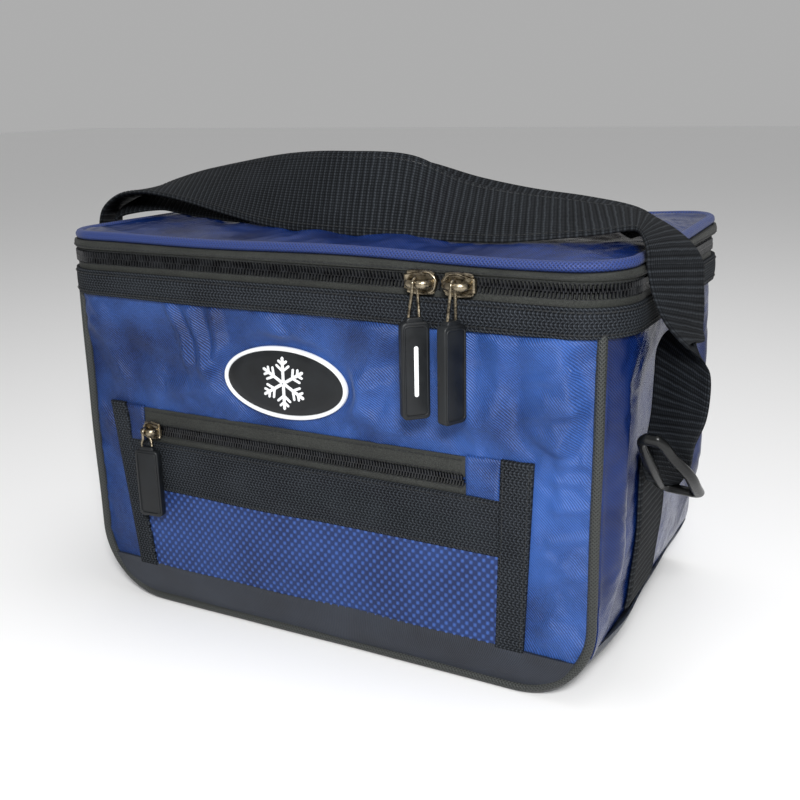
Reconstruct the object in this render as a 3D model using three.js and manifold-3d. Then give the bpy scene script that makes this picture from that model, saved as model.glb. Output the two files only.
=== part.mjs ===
// Insulated lunch cooler bag: soft box body, zip-round lid, front pocket and carry strap.
// Millimetres, +Z up, +X to the bag's right as seen from its front, +Y to the back.
// The origin is the centre of the base.
import * as THREE from 'three';
import Module from 'manifold-3d';
import { mergeVertices } from 'three/addons/utils/BufferGeometryUtils.js';

const wasm = await Module();
wasm.setup();

// ---------------------------------------------------------------- driving sizes
const GAP = 0.3;               // clear space left between touching pieces
const BODY_HALF_WIDTH = 124.5; // side fabric at the front and back seams
const BODY_HALF_DEPTH = 74;    // outer face of the front and back panels
const CORNER_R = 34;           // rounded bottom corners of the body
const BODY_TOP = 155.6;        // top edge of the body fabric, behind the zip band
const BASE_WRAP_TOP = 24;      // how far the black base fabric wraps up each side
const FABRIC_T = 1.2;
const FOAM_T = 4;
const LINER_T = 0.7;
const SIDE_BULGE = 5;          // how far the side panels stand proud of their seams
const PIPING_R = 2;
const PIPING_INSET = 2.2;      // piping centre line inside the body's skin
const SEAM_INSET = 2.3;        // panel edge to piping centre line
const PANEL_INSET = PIPING_INSET + SEAM_INSET;

const ZIP_HALF_WIDTH = 130;    // plane of the main zip, half width
const ZIP_HALF_DEPTH = 78.5;   // and half depth
const ZIP_CORNER_R = 21;
const ZIP_Z = 165;             // height of the zip's centre line and of the lid's hinge line
const COIL_SPLIT = 1.4;        // free height between the two rows of coils
const COIL_H = 1.8;
const COIL_HALF_T = 1.5;
const TAPE_HALF_T = 0.4;
const ZIP_SIDE_END = 56;       // the zip stops here on each side, near the rear corners

const BAND_BOTTOM = 148;       // lower webbing band round the mouth of the body
const BAND_TOP = 159.5;
const LID_BAND_BOTTOM = 168.2;
const LID_BAND_TOP = 171.5;
const LID_EDGE_TOP = 175.6;    // top face of the lid cover at its edge
const LID_CROWN = 1.5;
const LID_PIPING_Z = 173.8;
const LID_PIPING_OFFSET = -0.9; // lid piping just inside the zip plane
const LID_COVER_OFFSET = -3.2; // edge of the lid cover, inside its piping

const BASE_BAND_TOP = 19;      // ribbed band along the bottom of the front
const POCKET_TOP = 98;
const POCKET_ZIP_Z = 87;
const WEBBING_T = 1.6;
const STRAP_WIDTH = 38;
const STRAP_SEWN_Y = -20;      // middle of the webbing sewn to each side

const LEFT_SLIDER_X = 54.8;
const RIGHT_SLIDER_X = 70.2;
const POCKET_SLIDER_X = -86;

// ---------------------------------------------------------------- colours
const BLUE_SATIN = { color: 0x1f3f96, roughness: 0.35, metalness: 0 };
const BLUE_COATED = { color: 0x1b3788, roughness: 0.22, metalness: 0 };
const BLUE_DOBBY = { color: 0x2a4fa5, roughness: 0.5, metalness: 0 };
const BLACK_WEBBING = { color: 0x17181b, roughness: 0.7, metalness: 0 };
const NAVY_BASE = { color: 0x141a2b, roughness: 0.6, metalness: 0 };
const BLACK_COIL = { color: 0x101114, roughness: 0.35, metalness: 0 };
const BLACK_RUBBER = { color: 0x0e0f11, roughness: 0.55, metalness: 0 };
const BLACK_PLASTIC = { color: 0x131416, roughness: 0.3, metalness: 0 };
const WHITE_RUBBER = { color: 0xe9ecef, roughness: 0.5, metalness: 0 };
const DARK_METAL = { color: 0x6f675c, roughness: 0.3, metalness: 1 };
const WHITE_FOAM = { color: 0xf0f0ea, roughness: 0.8, metalness: 0 };
const SILVER_LINER = { color: 0xc9ccd0, roughness: 0.3, metalness: 0.4 };

const bag = new THREE.Group();

function add(name, geometry, look, parent = bag) {
  const mesh = new THREE.Mesh(geometry, new THREE.MeshStandardMaterial(look));
  mesh.name = name;
  parent.add(mesh);
  return mesh;
}

// ---------------------------------------------------------------- solid builders
const at = (x, y, z) => new THREE.Vector3(x, y, z);

// A closed solid through a row of section loops that all hold the same even number of
// points. The end sections are closed by zipping the first half of the loop to the second.
function loft(rings, looped = false) {
  const count = rings[0].length;
  const points = rings.flat();
  const index = [];
  const spans = looped ? rings.length : rings.length - 1;
  for (let i = 0; i < spans; i++) {
    const a = i * count;
    const b = ((i + 1) % rings.length) * count;
    for (let k = 0; k < count; k++) {
      const n = (k + 1) % count;
      index.push(a + k, a + n, b + n, a + k, b + n, b + k);
    }
  }
  if (!looped) {
    const end = spans * count;
    for (let k = 0; k < count / 2 - 1; k++) {
      const j = count - 1 - k;
      index.push(k, j, j - 1, k, j - 1, k + 1);
      index.push(end + k, end + k + 1, end + j - 1, end + k, end + j - 1, end + j);
    }
  }
  let volume = 0;
  for (let i = 0; i < index.length; i += 3) {
    const [p, q, r] = [points[index[i]], points[index[i + 1]], points[index[i + 2]]];
    volume += p.dot(q.clone().cross(r));
  }
  if (volume < 0) index.reverse();
  const geometry = new THREE.BufferGeometry();
  const numbers = points.flatMap((p) => [p.x, p.y, p.z]);
  geometry.setAttribute('position', new THREE.Float32BufferAttribute(numbers, 3));
  geometry.setIndex(index);
  return geometry;
}

// A flat plate standing in the XZ plane, between two Y values, from an outline of [x, z].
function uprightPlate(outline, yFront, yBack, holes = []) {
  const flat = (loop) => loop.map(([x, z]) => new THREE.Vector2(x, z));
  const shape = new THREE.Shape(flat(outline));
  for (const hole of holes) shape.holes.push(new THREE.Path(flat(hole)));
  const geometry = new THREE.ExtrudeGeometry(shape, { depth: yBack - yFront, bevelEnabled: false });
  geometry.rotateX(Math.PI / 2);
  geometry.translate(0, yBack, 0);
  return geometry;
}

// A tube of round section along points. The side vector is one that stays square to the
// path, either one for the whole path or one for each point.
function tube(points, radius, side, sides = 8, looped = false) {
  const rings = points.map((point, i) => {
    const planeNormal = Array.isArray(side) ? side[i] : side;
    const before = points[looped ? (i + points.length - 1) % points.length : Math.max(i - 1, 0)];
    const after = points[looped ? (i + 1) % points.length : Math.min(i + 1, points.length - 1)];
    const tangent = after.clone().sub(before).normalize();
    const across = planeNormal.clone().cross(tangent).normalize();
    return Array.from({ length: sides }, (_, k) => {
      const angle = (2 * Math.PI * k) / sides;
      return point.clone()
        .addScaledVector(across, radius * Math.cos(angle))
        .addScaledVector(planeNormal, radius * Math.sin(angle));
    });
  });
  return loft(rings, looped);
}

// A flat band of webbing through stations that each give its two edges.
function ribbon(stations, thickness, steps) {
  const edgeA = new THREE.CatmullRomCurve3(stations.map(([a]) => at(...a)), false, 'centripetal');
  const edgeB = new THREE.CatmullRomCurve3(stations.map(([, b]) => at(...b)), false, 'centripetal');
  const rings = [];
  for (let i = 0; i <= steps; i++) {
    const t = i / steps;
    const a = edgeA.getPoint(t);
    const b = edgeB.getPoint(t);
    const forward = edgeA.getTangent(t).add(edgeB.getTangent(t));
    const lift = forward.cross(b.clone().sub(a)).setLength(thickness / 2);
    rings.push([a.clone().add(lift), b.clone().add(lift), b.clone().sub(lift), a.clone().sub(lift)]);
  }
  return loft(rings);
}

function toManifold(geometry) {
  const bare = new THREE.BufferGeometry();
  bare.setAttribute('position', geometry.getAttribute('position').clone());
  if (geometry.index) bare.setIndex(geometry.index.clone());
  const merged = mergeVertices(bare, 1e-4);
  return new wasm.Manifold(new wasm.Mesh({
    numProp: 3,
    vertProperties: new Float32Array(merged.getAttribute('position').array),
    triVerts: new Uint32Array(merged.index.array),
  }));
}

function fromManifold(solid) {
  const mesh = solid.getMesh();
  const geometry = new THREE.BufferGeometry();
  geometry.setAttribute('position', new THREE.BufferAttribute(mesh.vertProperties, 3));
  geometry.setIndex(new THREE.BufferAttribute(mesh.triVerts, 1));
  return geometry;
}

function cut(solid, ...tools) {
  return fromManifold(tools.reduce((left, tool) => left.subtract(toManifold(tool)), toManifold(solid)));
}

function join(...pieces) {
  return fromManifold(pieces.map(toManifold).reduce((whole, piece) => whole.add(piece)));
}

function block(x0, x1, y0, y1, z0, z1) {
  const box = new THREE.BoxGeometry(x1 - x0, y1 - y0, z1 - z0);
  return box.translate((x0 + x1) / 2, (y0 + y1) / 2, (z0 + z1) / 2);
}

// ---------------------------------------------------------------- shared outlines
// The body's front outline, inset from the outer skin: up the left side, round the bottom
// corners and up the right side, as [x, z] points.
function bodyOutline(inset, top, steps = 7) {
  const radius = CORNER_R - inset;
  const centreX = BODY_HALF_WIDTH - CORNER_R;
  const points = [[-(BODY_HALF_WIDTH - inset), top]];
  for (const side of [-1, 1]) {
    for (let i = 0; i <= steps; i++) {
      const turn = (Math.PI / 2) * (side < 0 ? i / steps : 1 - i / steps);
      points.push([side * (centreX + radius * Math.cos(turn)), CORNER_R - radius * Math.sin(turn)]);
    }
  }
  points.push([BODY_HALF_WIDTH - inset, top]);
  return points;
}

// Half width of the body's skin at a height, on the rounded outline.
function skinHalfWidth(z) {
  const drop = Math.max(CORNER_R - z, 0);
  return BODY_HALF_WIDTH - CORNER_R + Math.sqrt(CORNER_R ** 2 - drop ** 2);
}

// The rounded rectangle of the zip plane, moved outwards by an offset. An open path runs
// from the rear left, round the front, to the rear right.
function zipPath(offset, open = false, steps = 5) {
  const halfWidth = ZIP_HALF_WIDTH + offset;
  const halfDepth = ZIP_HALF_DEPTH + offset;
  const radius = ZIP_CORNER_R + offset;
  const corners = [[-1, -1, Math.PI], [1, -1, 1.5 * Math.PI], [1, 1, 0], [-1, 1, 0.5 * Math.PI]];
  const points = [];
  if (open) points.push([-halfWidth, ZIP_SIDE_END]);
  for (const [sx, sy, start] of open ? corners.slice(0, 2) : corners) {
    for (let i = 0; i <= steps; i++) {
      const angle = start + (Math.PI / 2) * (i / steps);
      points.push([
        sx * (halfWidth - radius) + radius * Math.cos(angle),
        sy * (halfDepth - radius) + radius * Math.sin(angle),
      ]);
    }
  }
  if (open) points.push([halfWidth, ZIP_SIDE_END]);
  return points;
}

// A strip that follows the zip plane: a full ring, or open at the back like the zip.
function zipStrip(inner, outer, z0, z1, open = false) {
  const outside = zipPath(outer, open);
  const inside = zipPath(inner, open);
  const rings = outside.map(([x, y], i) => {
    const [u, w] = inside[i];
    return [at(x, y, z0), at(x, y, z1), at(u, w, z1), at(u, w, z0)];
  });
  return loft(rings, !open);
}

// ---------------------------------------------------------------- body shell
function facePanel(inset, y0, y1, top) {
  return uprightPlate(bodyOutline(inset, top), y0, y1);
}

// A strip that wraps under the body from one side to the other, between two insets.
function wrapStrip(outerInset, innerInset, top, halfDepth) {
  const trim = (inset) => {
    const radius = CORNER_R - inset;
    const centreX = BODY_HALF_WIDTH - CORNER_R;
    const start = Math.asin((CORNER_R - top) / radius);
    const points = [];
    for (const side of [-1, 1]) {
      for (let i = 0; i <= 6; i++) {
        const share = side < 0 ? i / 6 : 1 - i / 6;
        const turn = start + (Math.PI / 2 - start) * share;
        points.push([side * (centreX + radius * Math.cos(turn)), CORNER_R - radius * Math.sin(turn)]);
      }
    }
    return points;
  };
  const outside = trim(outerInset);
  const inside = trim(innerInset);
  return loft(outside.map(([x, z], i) => {
    const [u, w] = inside[i];
    return [at(x, -halfDepth, z), at(x, halfDepth, z), at(u, halfDepth, w), at(u, -halfDepth, w)];
  }));
}

// A side panel: fabric that follows the rounded corner low down and bulges higher up.
function sidePanel(side) {
  const halfDepth = BODY_HALF_DEPTH - SEAM_INSET;
  const heights = [BASE_WRAP_TOP + GAP, 32, 42, 56, 72, 110, BODY_TOP];
  const rings = heights.map((z) => {
    const fade = Math.min((z - BASE_WRAP_TOP) / 40, 1);
    const outer = [];
    const inner = [];
    for (let k = 0; k <= 8; k++) {
      const share = (k / 8) * 2 - 1;
      const x = skinHalfWidth(z) + SIDE_BULGE * fade * (1 - share ** 4);
      outer.push(at(side * x, share * halfDepth, z));
      inner.unshift(at(side * (x - FABRIC_T), share * halfDepth, z));
    }
    return [...outer, ...inner];
  });
  return loft(rings);
}

function piping(side) {
  const outline = bodyOutline(PIPING_INSET, BAND_BOTTOM - GAP);
  const path = outline.map(([x, z]) => at(x, side * BODY_HALF_DEPTH, z));
  return tube(path, PIPING_R, at(0, 1, 0));
}

function linerTub() {
  const outerInset = FABRIC_T + FOAM_T + 2 * GAP + 0.1;
  const outerY = BODY_HALF_DEPTH - FABRIC_T - FOAM_T - 2 * GAP;
  const outer = facePanel(outerInset, -outerY, outerY, BODY_TOP - 0.5);
  const innerY = outerY - LINER_T;
  return cut(outer, facePanel(outerInset + LINER_T, -innerY, innerY, BODY_TOP + 5));
}

function addBody() {
  const panelY = BODY_HALF_DEPTH;
  const foamY = panelY - FABRIC_T - GAP;
  const sideFoamX = BODY_HALF_WIDTH - FABRIC_T - GAP;
  const sideFoamY = foamY - FOAM_T - GAP;
  const sideFoamZ = CORNER_R + 2;
  add('front_panel', facePanel(PANEL_INSET, -panelY, -panelY + FABRIC_T, BODY_TOP), BLUE_SATIN);
  add('back_panel', facePanel(PANEL_INSET, panelY - FABRIC_T, panelY, BODY_TOP), BLUE_COATED);
  add('side_panel_left', sidePanel(-1), BLUE_COATED);
  add('side_panel_right', sidePanel(1), BLUE_COATED);
  add('base_panel', wrapStrip(0, FABRIC_T, BASE_WRAP_TOP, panelY - SEAM_INSET), NAVY_BASE);
  add('front_piping', piping(-1), BLACK_WEBBING);
  add('back_piping', piping(1), BLACK_WEBBING);
  add('foam_front', facePanel(PANEL_INSET, -foamY, -foamY + FOAM_T, BODY_TOP - 0.5), WHITE_FOAM);
  add('foam_back', facePanel(PANEL_INSET, foamY - FOAM_T, foamY, BODY_TOP - 0.5), WHITE_FOAM);
  for (const [name, side] of [['foam_side_left', -1], ['foam_side_right', 1]]) {
    const xs = [side * sideFoamX, side * (sideFoamX - FOAM_T)].sort((a, b) => a - b);
    add(name, block(...xs, -sideFoamY, sideFoamY, sideFoamZ, BODY_TOP - 0.5), WHITE_FOAM);
  }
  add('foam_base', wrapStrip(FABRIC_T + GAP, FABRIC_T + GAP + FOAM_T, CORNER_R, sideFoamY), WHITE_FOAM);
  add('inner_liner', linerTub(), SILVER_LINER);
}

// ---------------------------------------------------------------- mouth of the body and main zip
function addMouth() {
  const lowerCoilTop = ZIP_Z - COIL_SPLIT / 2;
  const lowerCoilBottom = lowerCoilTop - COIL_H;
  add('zip_band_lower', zipStrip(0.7, 2.2, BAND_BOTTOM, BAND_TOP), BLACK_WEBBING);
  const tape = zipStrip(-TAPE_HALF_T, TAPE_HALF_T, 156, lowerCoilBottom - GAP, true);
  add('zip_tape_lower', tape, BLACK_WEBBING);
  const coil = zipStrip(-COIL_HALF_T, COIL_HALF_T, lowerCoilBottom, lowerCoilTop, true);
  add('zip_coil_lower', coil, BLACK_COIL);
  const halfWidth = ZIP_HALF_WIDTH - ZIP_CORNER_R;
  const [front, back] = [ZIP_HALF_DEPTH - TAPE_HALF_T, ZIP_HALF_DEPTH + TAPE_HALF_T];
  const hinge = block(-halfWidth, halfWidth, front, back, BODY_TOP + GAP, ZIP_Z - GAP);
  add('lid_hinge_strip', hinge, BLACK_WEBBING);
}

// ---------------------------------------------------------------- lid
// Height of the lid's crowned top face.
function lidTop(x, y) {
  const u = Math.min(Math.abs(x) / (ZIP_HALF_WIDTH + LID_COVER_OFFSET), 1);
  const w = Math.min(Math.abs(y) / (ZIP_HALF_DEPTH + LID_COVER_OFFSET), 1);
  return LID_EDGE_TOP + LID_CROWN * (1 - u ** 4) * (1 - w ** 4);
}

// A sheet under the lid's top face, between two depths below it.
function lidSheet(offset, depthTop, depthBottom) {
  const halfWidth = ZIP_HALF_WIDTH + offset;
  const halfDepth = ZIP_HALF_DEPTH + offset;
  const radius = ZIP_CORNER_R + offset;
  const xs = [];
  for (let i = 0; i <= 4; i++) {
    xs.push(halfWidth - radius + radius * Math.sin((Math.PI / 2) * (i / 4)));
  }
  const stations = [...xs.map((x) => -x).reverse(), -80, -40, 0, 40, 80, ...xs];
  const rings = stations.map((x) => {
    const past = Math.max(Math.abs(x) - (halfWidth - radius), 0);
    const reach = halfDepth - radius + Math.sqrt(Math.max(radius ** 2 - past ** 2, 0));
    const top = [];
    const bottom = [];
    for (let k = 0; k <= 8; k++) {
      const y = ((k / 8) * 2 - 1) * reach;
      top.push(at(x, y, lidTop(x, y) - depthTop));
      bottom.unshift(at(x, y, lidTop(x, y) - depthBottom));
    }
    return [...top, ...bottom];
  });
  return loft(rings);
}

function addLid() {
  const upperCoilBottom = ZIP_Z + COIL_SPLIT / 2;
  const upperCoilTop = upperCoilBottom + COIL_H;
  const coverT = 1;
  const foamTop = coverT + GAP;
  const linerTop = foamTop + FOAM_T + GAP;
  const pipingPath = zipPath(LID_PIPING_OFFSET).map(([x, y]) => at(x, y, LID_PIPING_Z));
  const foamOffset = LID_COVER_OFFSET - 0.1;
  add('lid_cover', lidSheet(LID_COVER_OFFSET, 0, coverT), BLUE_COATED);
  add('lid_foam', lidSheet(foamOffset, foamTop, foamTop + FOAM_T), WHITE_FOAM);
  add('lid_liner', lidSheet(foamOffset, linerTop, linerTop + LINER_T), SILVER_LINER);
  add('lid_piping', tube(pipingPath, PIPING_R, at(0, 0, 1), 8, true), BLUE_COATED);
  add('lid_band', zipStrip(0.5, 1.6, LID_BAND_BOTTOM, LID_BAND_TOP), BLACK_WEBBING);
  add('zip_tape_upper', zipStrip(-0.6, 0.2, upperCoilTop + GAP, LID_BAND_TOP, true), BLACK_WEBBING);
  const coil = zipStrip(-COIL_HALF_T, COIL_HALF_T, upperCoilBottom, upperCoilTop, true);
  add('zip_coil_upper', coil, BLACK_COIL);
}

// ---------------------------------------------------------------- sliders and pullers
// Outline of a slider plate, narrow at the tail and wide at the nose, as [x, z].
function sliderOutline(x, z, length, height, nose) {
  const h = length / 2;
  const w = height / 2;
  const edge = [[-h, w * 0.62], [-h * 0.5, w * 0.7], [h * 0.2, w], [h * 0.75, w * 0.92], [h, w * 0.45]];
  const plan = [...edge.map(([u, v]) => [u, -v]), ...edge.reverse()];
  return plan.map(([u, v]) => [x + nose * u, z + v]);
}

// A slider: outer plate, centre post through the split between the coils, an inner plate
// where there is room behind the zip, and the bar that carries the puller.
function slider({ x, z, nose, length, height, plateBack, plateFront, postBack, innerPlate, barY }) {
  const pieces = [
    uprightPlate(sliderOutline(x, z, length, height, nose), plateFront, plateBack),
    block(x + nose * 3 - 2, x + nose * 3 + 2, plateBack - 0.2, postBack, z - 0.4, z + 0.4),
  ];
  if (innerPlate) {
    pieces.push(uprightPlate(sliderOutline(x, z, length, height, nose), innerPlate[0], innerPlate[1]));
  }
  const bar = new THREE.CylinderGeometry(0.9, 0.9, length * 0.72, 10);
  bar.rotateZ(Math.PI / 2);
  bar.translate(x, barY, z);
  pieces.push(bar);
  for (const end of [-1, 1]) {
    const legX = x + end * length * 0.34;
    pieces.push(block(legX - 0.8, legX + 0.8, barY, plateFront + 0.2, z - 1, z + 1));
  }
  return join(...pieces);
}

// The wire loop that hangs on the bar. It passes round the bar from front to back, and its
// legs turn about the vertical on their way down, until they stand in the grip's plane.
function pullWire({ x, barY, barZ, gripY, gripTop, twist }) {
  const loopR = 2.1;
  const drop = barZ - gripTop - GAP;
  const straight = 2.5;
  const inPlane = [];
  for (let i = 0; i <= 8; i++) {
    const angle = Math.PI - (Math.PI * i) / 8;
    inPlane.push([loopR * Math.cos(angle), loopR * Math.sin(angle)]);
  }
  for (let i = 0; i <= 4; i++) {
    const down = -straight - ((drop - straight) * i) / 4;
    inPlane.unshift([-loopR, down]);
    inPlane.push([loopR, down]);
  }
  const lean = (gripY - barY) / drop;
  const points = [];
  const sides = [];
  for (const [u, h] of inPlane) {
    const share = Math.max((-h - straight) / (drop - straight), 0);
    const turn = Math.PI / 2 + (twist - Math.PI / 2) * share;
    const y = barY + Math.max(-h, 0) * lean + u * Math.sin(turn);
    points.push(at(x + u * Math.cos(turn), y, barZ + h));
    sides.push(at(-Math.sin(turn), Math.cos(turn), 0));
  }
  return tube(points, 0.6, sides);
}

function grip({ x, y, top, width, thickness, length, twist }) {
  const h = width / 2;
  const c = 2.2;
  const outline = [[-h, -length + c], [-h + c, -length], [h - c, -length], [h, -length + c],
    [h, -c], [h - c, 0], [-h + c, 0], [-h, -c]];
  const geometry = uprightPlate(outline, -thickness / 2, thickness / 2);
  geometry.rotateZ(twist);
  geometry.translate(x, y, top);
  return geometry;
}

function addPuller(side, { x, barY, barZ, gripY, gripTop, width, thickness, length, twist }) {
  add(`pull_wire_${side}`, pullWire({ x, barY, barZ, gripY, gripTop, twist }), DARK_METAL);
  const rubber = grip({ x, y: gripY, top: gripTop, width, thickness, length, twist });
  add(`pull_grip_${side}`, rubber, BLACK_RUBBER);
}

function addMainSliders() {
  const coilFront = -ZIP_HALF_DEPTH - COIL_HALF_T;
  const barY = coilFront - 6.1;
  const sides = [['left', LEFT_SLIDER_X, 1, 45], ['right', RIGHT_SLIDER_X, -1, 68]];
  for (const [side, x, nose, degrees] of sides) {
    const plates = {
      plateBack: coilFront - 0.4,
      plateFront: coilFront - 1.9,
      postBack: -ZIP_HALF_DEPTH + 2.2,
      innerPlate: [-ZIP_HALF_DEPTH + 1.9, -ZIP_HALF_DEPTH + 3.1],
    };
    const metal = slider({ x, z: ZIP_Z, nose, length: 13.6, height: 8.6, barY, ...plates });
    add(`zip_slider_${side}`, metal, DARK_METAL);
    const rubber = { width: 11, thickness: 4.6, length: 37.5, gripTop: 151.5, gripY: barY - 1.4 };
    addPuller(side, { x, barY, barZ: ZIP_Z, twist: THREE.MathUtils.degToRad(degrees), ...rubber });
  }
}

// ---------------------------------------------------------------- front of the bag
function frontBaseBand() {
  const radius = CORNER_R - PANEL_INSET;
  const centreX = BODY_HALF_WIDTH - CORNER_R;
  const start = Math.asin((CORNER_R - BASE_BAND_TOP) / radius);
  const outline = [];
  for (const side of [-1, 1]) {
    for (let i = 0; i <= 6; i++) {
      const share = side < 0 ? i / 6 : 1 - i / 6;
      const turn = start + (Math.PI / 2 - start) * share;
      outline.push([side * (centreX + radius * Math.cos(turn)), CORNER_R - radius * Math.sin(turn)]);
    }
  }
  return uprightPlate(outline, -BODY_HALF_DEPTH - 1.1, -BODY_HALF_DEPTH - GAP);
}

function ellipse(cx, cz, a, b, steps) {
  return Array.from({ length: steps }, (_, i) => {
    const angle = (2 * Math.PI * i) / steps;
    return [cx + a * Math.cos(angle), cz + b * Math.sin(angle)];
  });
}

// A six-armed frost star made of plain bars with one pair of side twigs on each arm.
function frostStar(cx, cz, y0, y1, reach) {
  const bar = (length, width, startU, angle, lean) => {
    const piece = block(0, length, 0, y1 - y0, -width / 2, width / 2);
    piece.rotateY(-lean);
    piece.translate(startU, 0, 0);
    piece.rotateY(-angle);
    return piece.translate(cx, y0, cz);
  };
  const pieces = [];
  for (let arm = 0; arm < 6; arm++) {
    const angle = Math.PI / 2 + (arm * Math.PI) / 3;
    pieces.push(bar(reach, 1.5, 0, angle, 0));
    for (const lean of [-1, 1]) {
      pieces.push(bar(reach * 0.36, 1.2, reach * 0.5, angle, (lean * Math.PI) / 3.4));
    }
  }
  return join(...pieces);
}

function addBadge() {
  const [cx, cz] = [-13, 117];
  const skin = -BODY_HALF_DEPTH;
  const rimOuter = ellipse(cx, cz, 30.6, 15.6, 40);
  const rimInner = ellipse(cx, cz, 28.8, 13.8, 40).reverse();
  add('badge_rim', uprightPlate(rimOuter, skin - 2.1, skin - GAP, [rimInner]), WHITE_RUBBER);
  add('badge_plate', uprightPlate(ellipse(cx, cz, 28.5, 13.5, 40), skin - 1.6, skin - GAP), BLACK_RUBBER);
  add('badge_emblem', frostStar(cx, cz, skin - 2.3, skin - 1.9, 10.8), WHITE_RUBBER);
}

// Pocket edges lean: each gives x at the top and at the bottom.
const POCKET_EDGES = {
  leftOuter: [-110.5, -101.5],
  leftInner: [-102, -92],
  rightInner: [85, 83.2],
  rightOuter: [98.2, 95],
};

function pocketX(edge, z) {
  const [top, bottom] = POCKET_EDGES[edge];
  const share = (z - BASE_BAND_TOP) / (POCKET_TOP - BASE_BAND_TOP);
  return bottom + (top - bottom) * share;
}

function pocketStrip(z0, z1, proud, left = 'leftInner', right = 'rightInner', pad = GAP) {
  const outline = [[pocketX(left, z0) + pad, z0], [pocketX(right, z0) - pad, z0],
    [pocketX(right, z1) - pad, z1], [pocketX(left, z1) + pad, z1]];
  return uprightPlate(outline, -BODY_HALF_DEPTH - proud, -BODY_HALF_DEPTH - GAP);
}

function addPocket() {
  const skin = -BODY_HALF_DEPTH;
  const bottom = BASE_BAND_TOP + GAP;
  const bandTop = 81;
  const bandBottom = 57.4;
  const split = 1.2;
  const [zipLeft, zipRight] = [-91.5, 70];
  const strip = (z0, z1, proud) => block(zipLeft, zipRight, skin - proud, skin - GAP, z0, z1);
  const binding = (left, right) => pocketStrip(bottom, POCKET_TOP, 2.2, left, right, 0);
  const lowCoil = POCKET_ZIP_Z - split / 2;
  const highCoil = POCKET_ZIP_Z + split / 2;
  add('pocket_panel', pocketStrip(bottom, bandBottom - GAP, 1.2), BLUE_DOBBY);
  add('pocket_webbing_band', pocketStrip(bandBottom, bandTop, 1.9), BLACK_WEBBING);
  add('pocket_binding_left', binding('leftOuter', 'leftInner'), BLACK_WEBBING);
  add('pocket_binding_right', binding('rightInner', 'rightOuter'), BLACK_WEBBING);
  add('pocket_zip_tape_lower', strip(bandTop + GAP, lowCoil - COIL_H - GAP, 0.9), BLACK_WEBBING);
  add('pocket_zip_coil_lower', strip(lowCoil - COIL_H, lowCoil, 2.2), BLACK_COIL);
  add('pocket_zip_coil_upper', strip(highCoil, highCoil + COIL_H, 2.2), BLACK_COIL);
  add('pocket_zip_tape_upper', strip(highCoil + COIL_H + GAP, 96, 0.9), BLACK_WEBBING);
  const tab = (zipEnd, edge, away) => {
    const [low, high] = [bandTop + GAP, POCKET_TOP - 1];
    const outline = [[zipEnd + away * GAP, low], [pocketX(edge, low) - away * GAP, low],
      [pocketX(edge, high) - away * GAP, high], [zipEnd + away * GAP, high]];
    return uprightPlate(outline, skin - 1.6, skin - GAP);
  };
  add('pocket_zip_tab_left', tab(zipLeft, 'leftInner', -1), BLUE_SATIN);
  add('pocket_zip_tab_right', tab(zipRight, 'rightInner', 1), BLUE_SATIN);
  const [x, z, barY] = [POCKET_SLIDER_X, POCKET_ZIP_Z, skin - 7.4];
  const plates = {
    plateBack: skin - 2.5,
    plateFront: skin - 3.8,
    postBack: skin - 0.5,
    innerPlate: null,
  };
  add('pocket_slider', slider({ x, z, nose: -1, length: 10, height: 7.6, barY, ...plates }), DARK_METAL);
  const rubber = { width: 12.2, thickness: 3.6, length: 32, gripTop: 79, gripY: barY };
  addPuller('pocket', { x, barY, barZ: z, twist: THREE.MathUtils.degToRad(6), ...rubber });
}

// ---------------------------------------------------------------- strap
// Sewn webbing down the middle of each side.
function sideWebbing(side, top) {
  const half = STRAP_WIDTH / 2;
  const heights = [27, 36, 46, 56, 64, top];
  const stations = heights.map((z) => {
    const fade = Math.min((z - BASE_WRAP_TOP) / 40, 1);
    const x = side * (skinHalfWidth(z) + SIDE_BULGE * fade + 0.5 + WEBBING_T / 2);
    return [[x, STRAP_SEWN_Y - half, z], [x, STRAP_SEWN_Y + half, z]];
  });
  return ribbon(stations, WEBBING_T, 10);
}

// The carry strap crosses the lid: it rises over the left edge, stands on its long edge in
// the middle and lies back again before it turns down over the right edge. Each station
// gives the lower, nearer edge and then the upper, farther edge.
const BOW_STATIONS = [
  [[-134.5, -48, 171], [-138.5, -11, 168.5]],
  [[-134.5, -44, 181.3], [-139, -6.5, 179.7]],
  [[-131.5, -37.5, 187], [-142, -1.5, 183.7]],
  [[-115, -38, 189.5], [-130, -3, 189.2]],
  [[-102, -38, 188.2], [-119, -4.5, 193.5]],
  [[-86.5, -39, 185.7], [-101.5, -6, 197.6]],
  [[-64.5, -43, 182], [-74.5, -12.5, 202.4]],
  [[-30.5, -51, 178], [-34.5, -28.5, 207.8]],
  [[4, -59.5, 177.7], [-0.5, -41, 209.6]],
  [[36, -60.5, 177.6], [32, -40.5, 207.9]],
  [[57, -61, 177.7], [49, -31.5, 198.4]],
  [[77.5, -60, 178], [66.5, -27.5, 194]],
  [[98.5, -54, 179.6], [86.5, -20, 190.8]],
  [[114.5, -50, 181.4], [100.5, -15.5, 188.4]],
  [[124, -46, 182.8], [113.5, -9, 186]],
  [[130.5, -56, 180.5], [134, -19, 179]],
  [[132.8, -60, 176.8], [142.5, -23.5, 173]],
  [[133, -60, 173], [145, -24, 168.8]],
];

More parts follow.
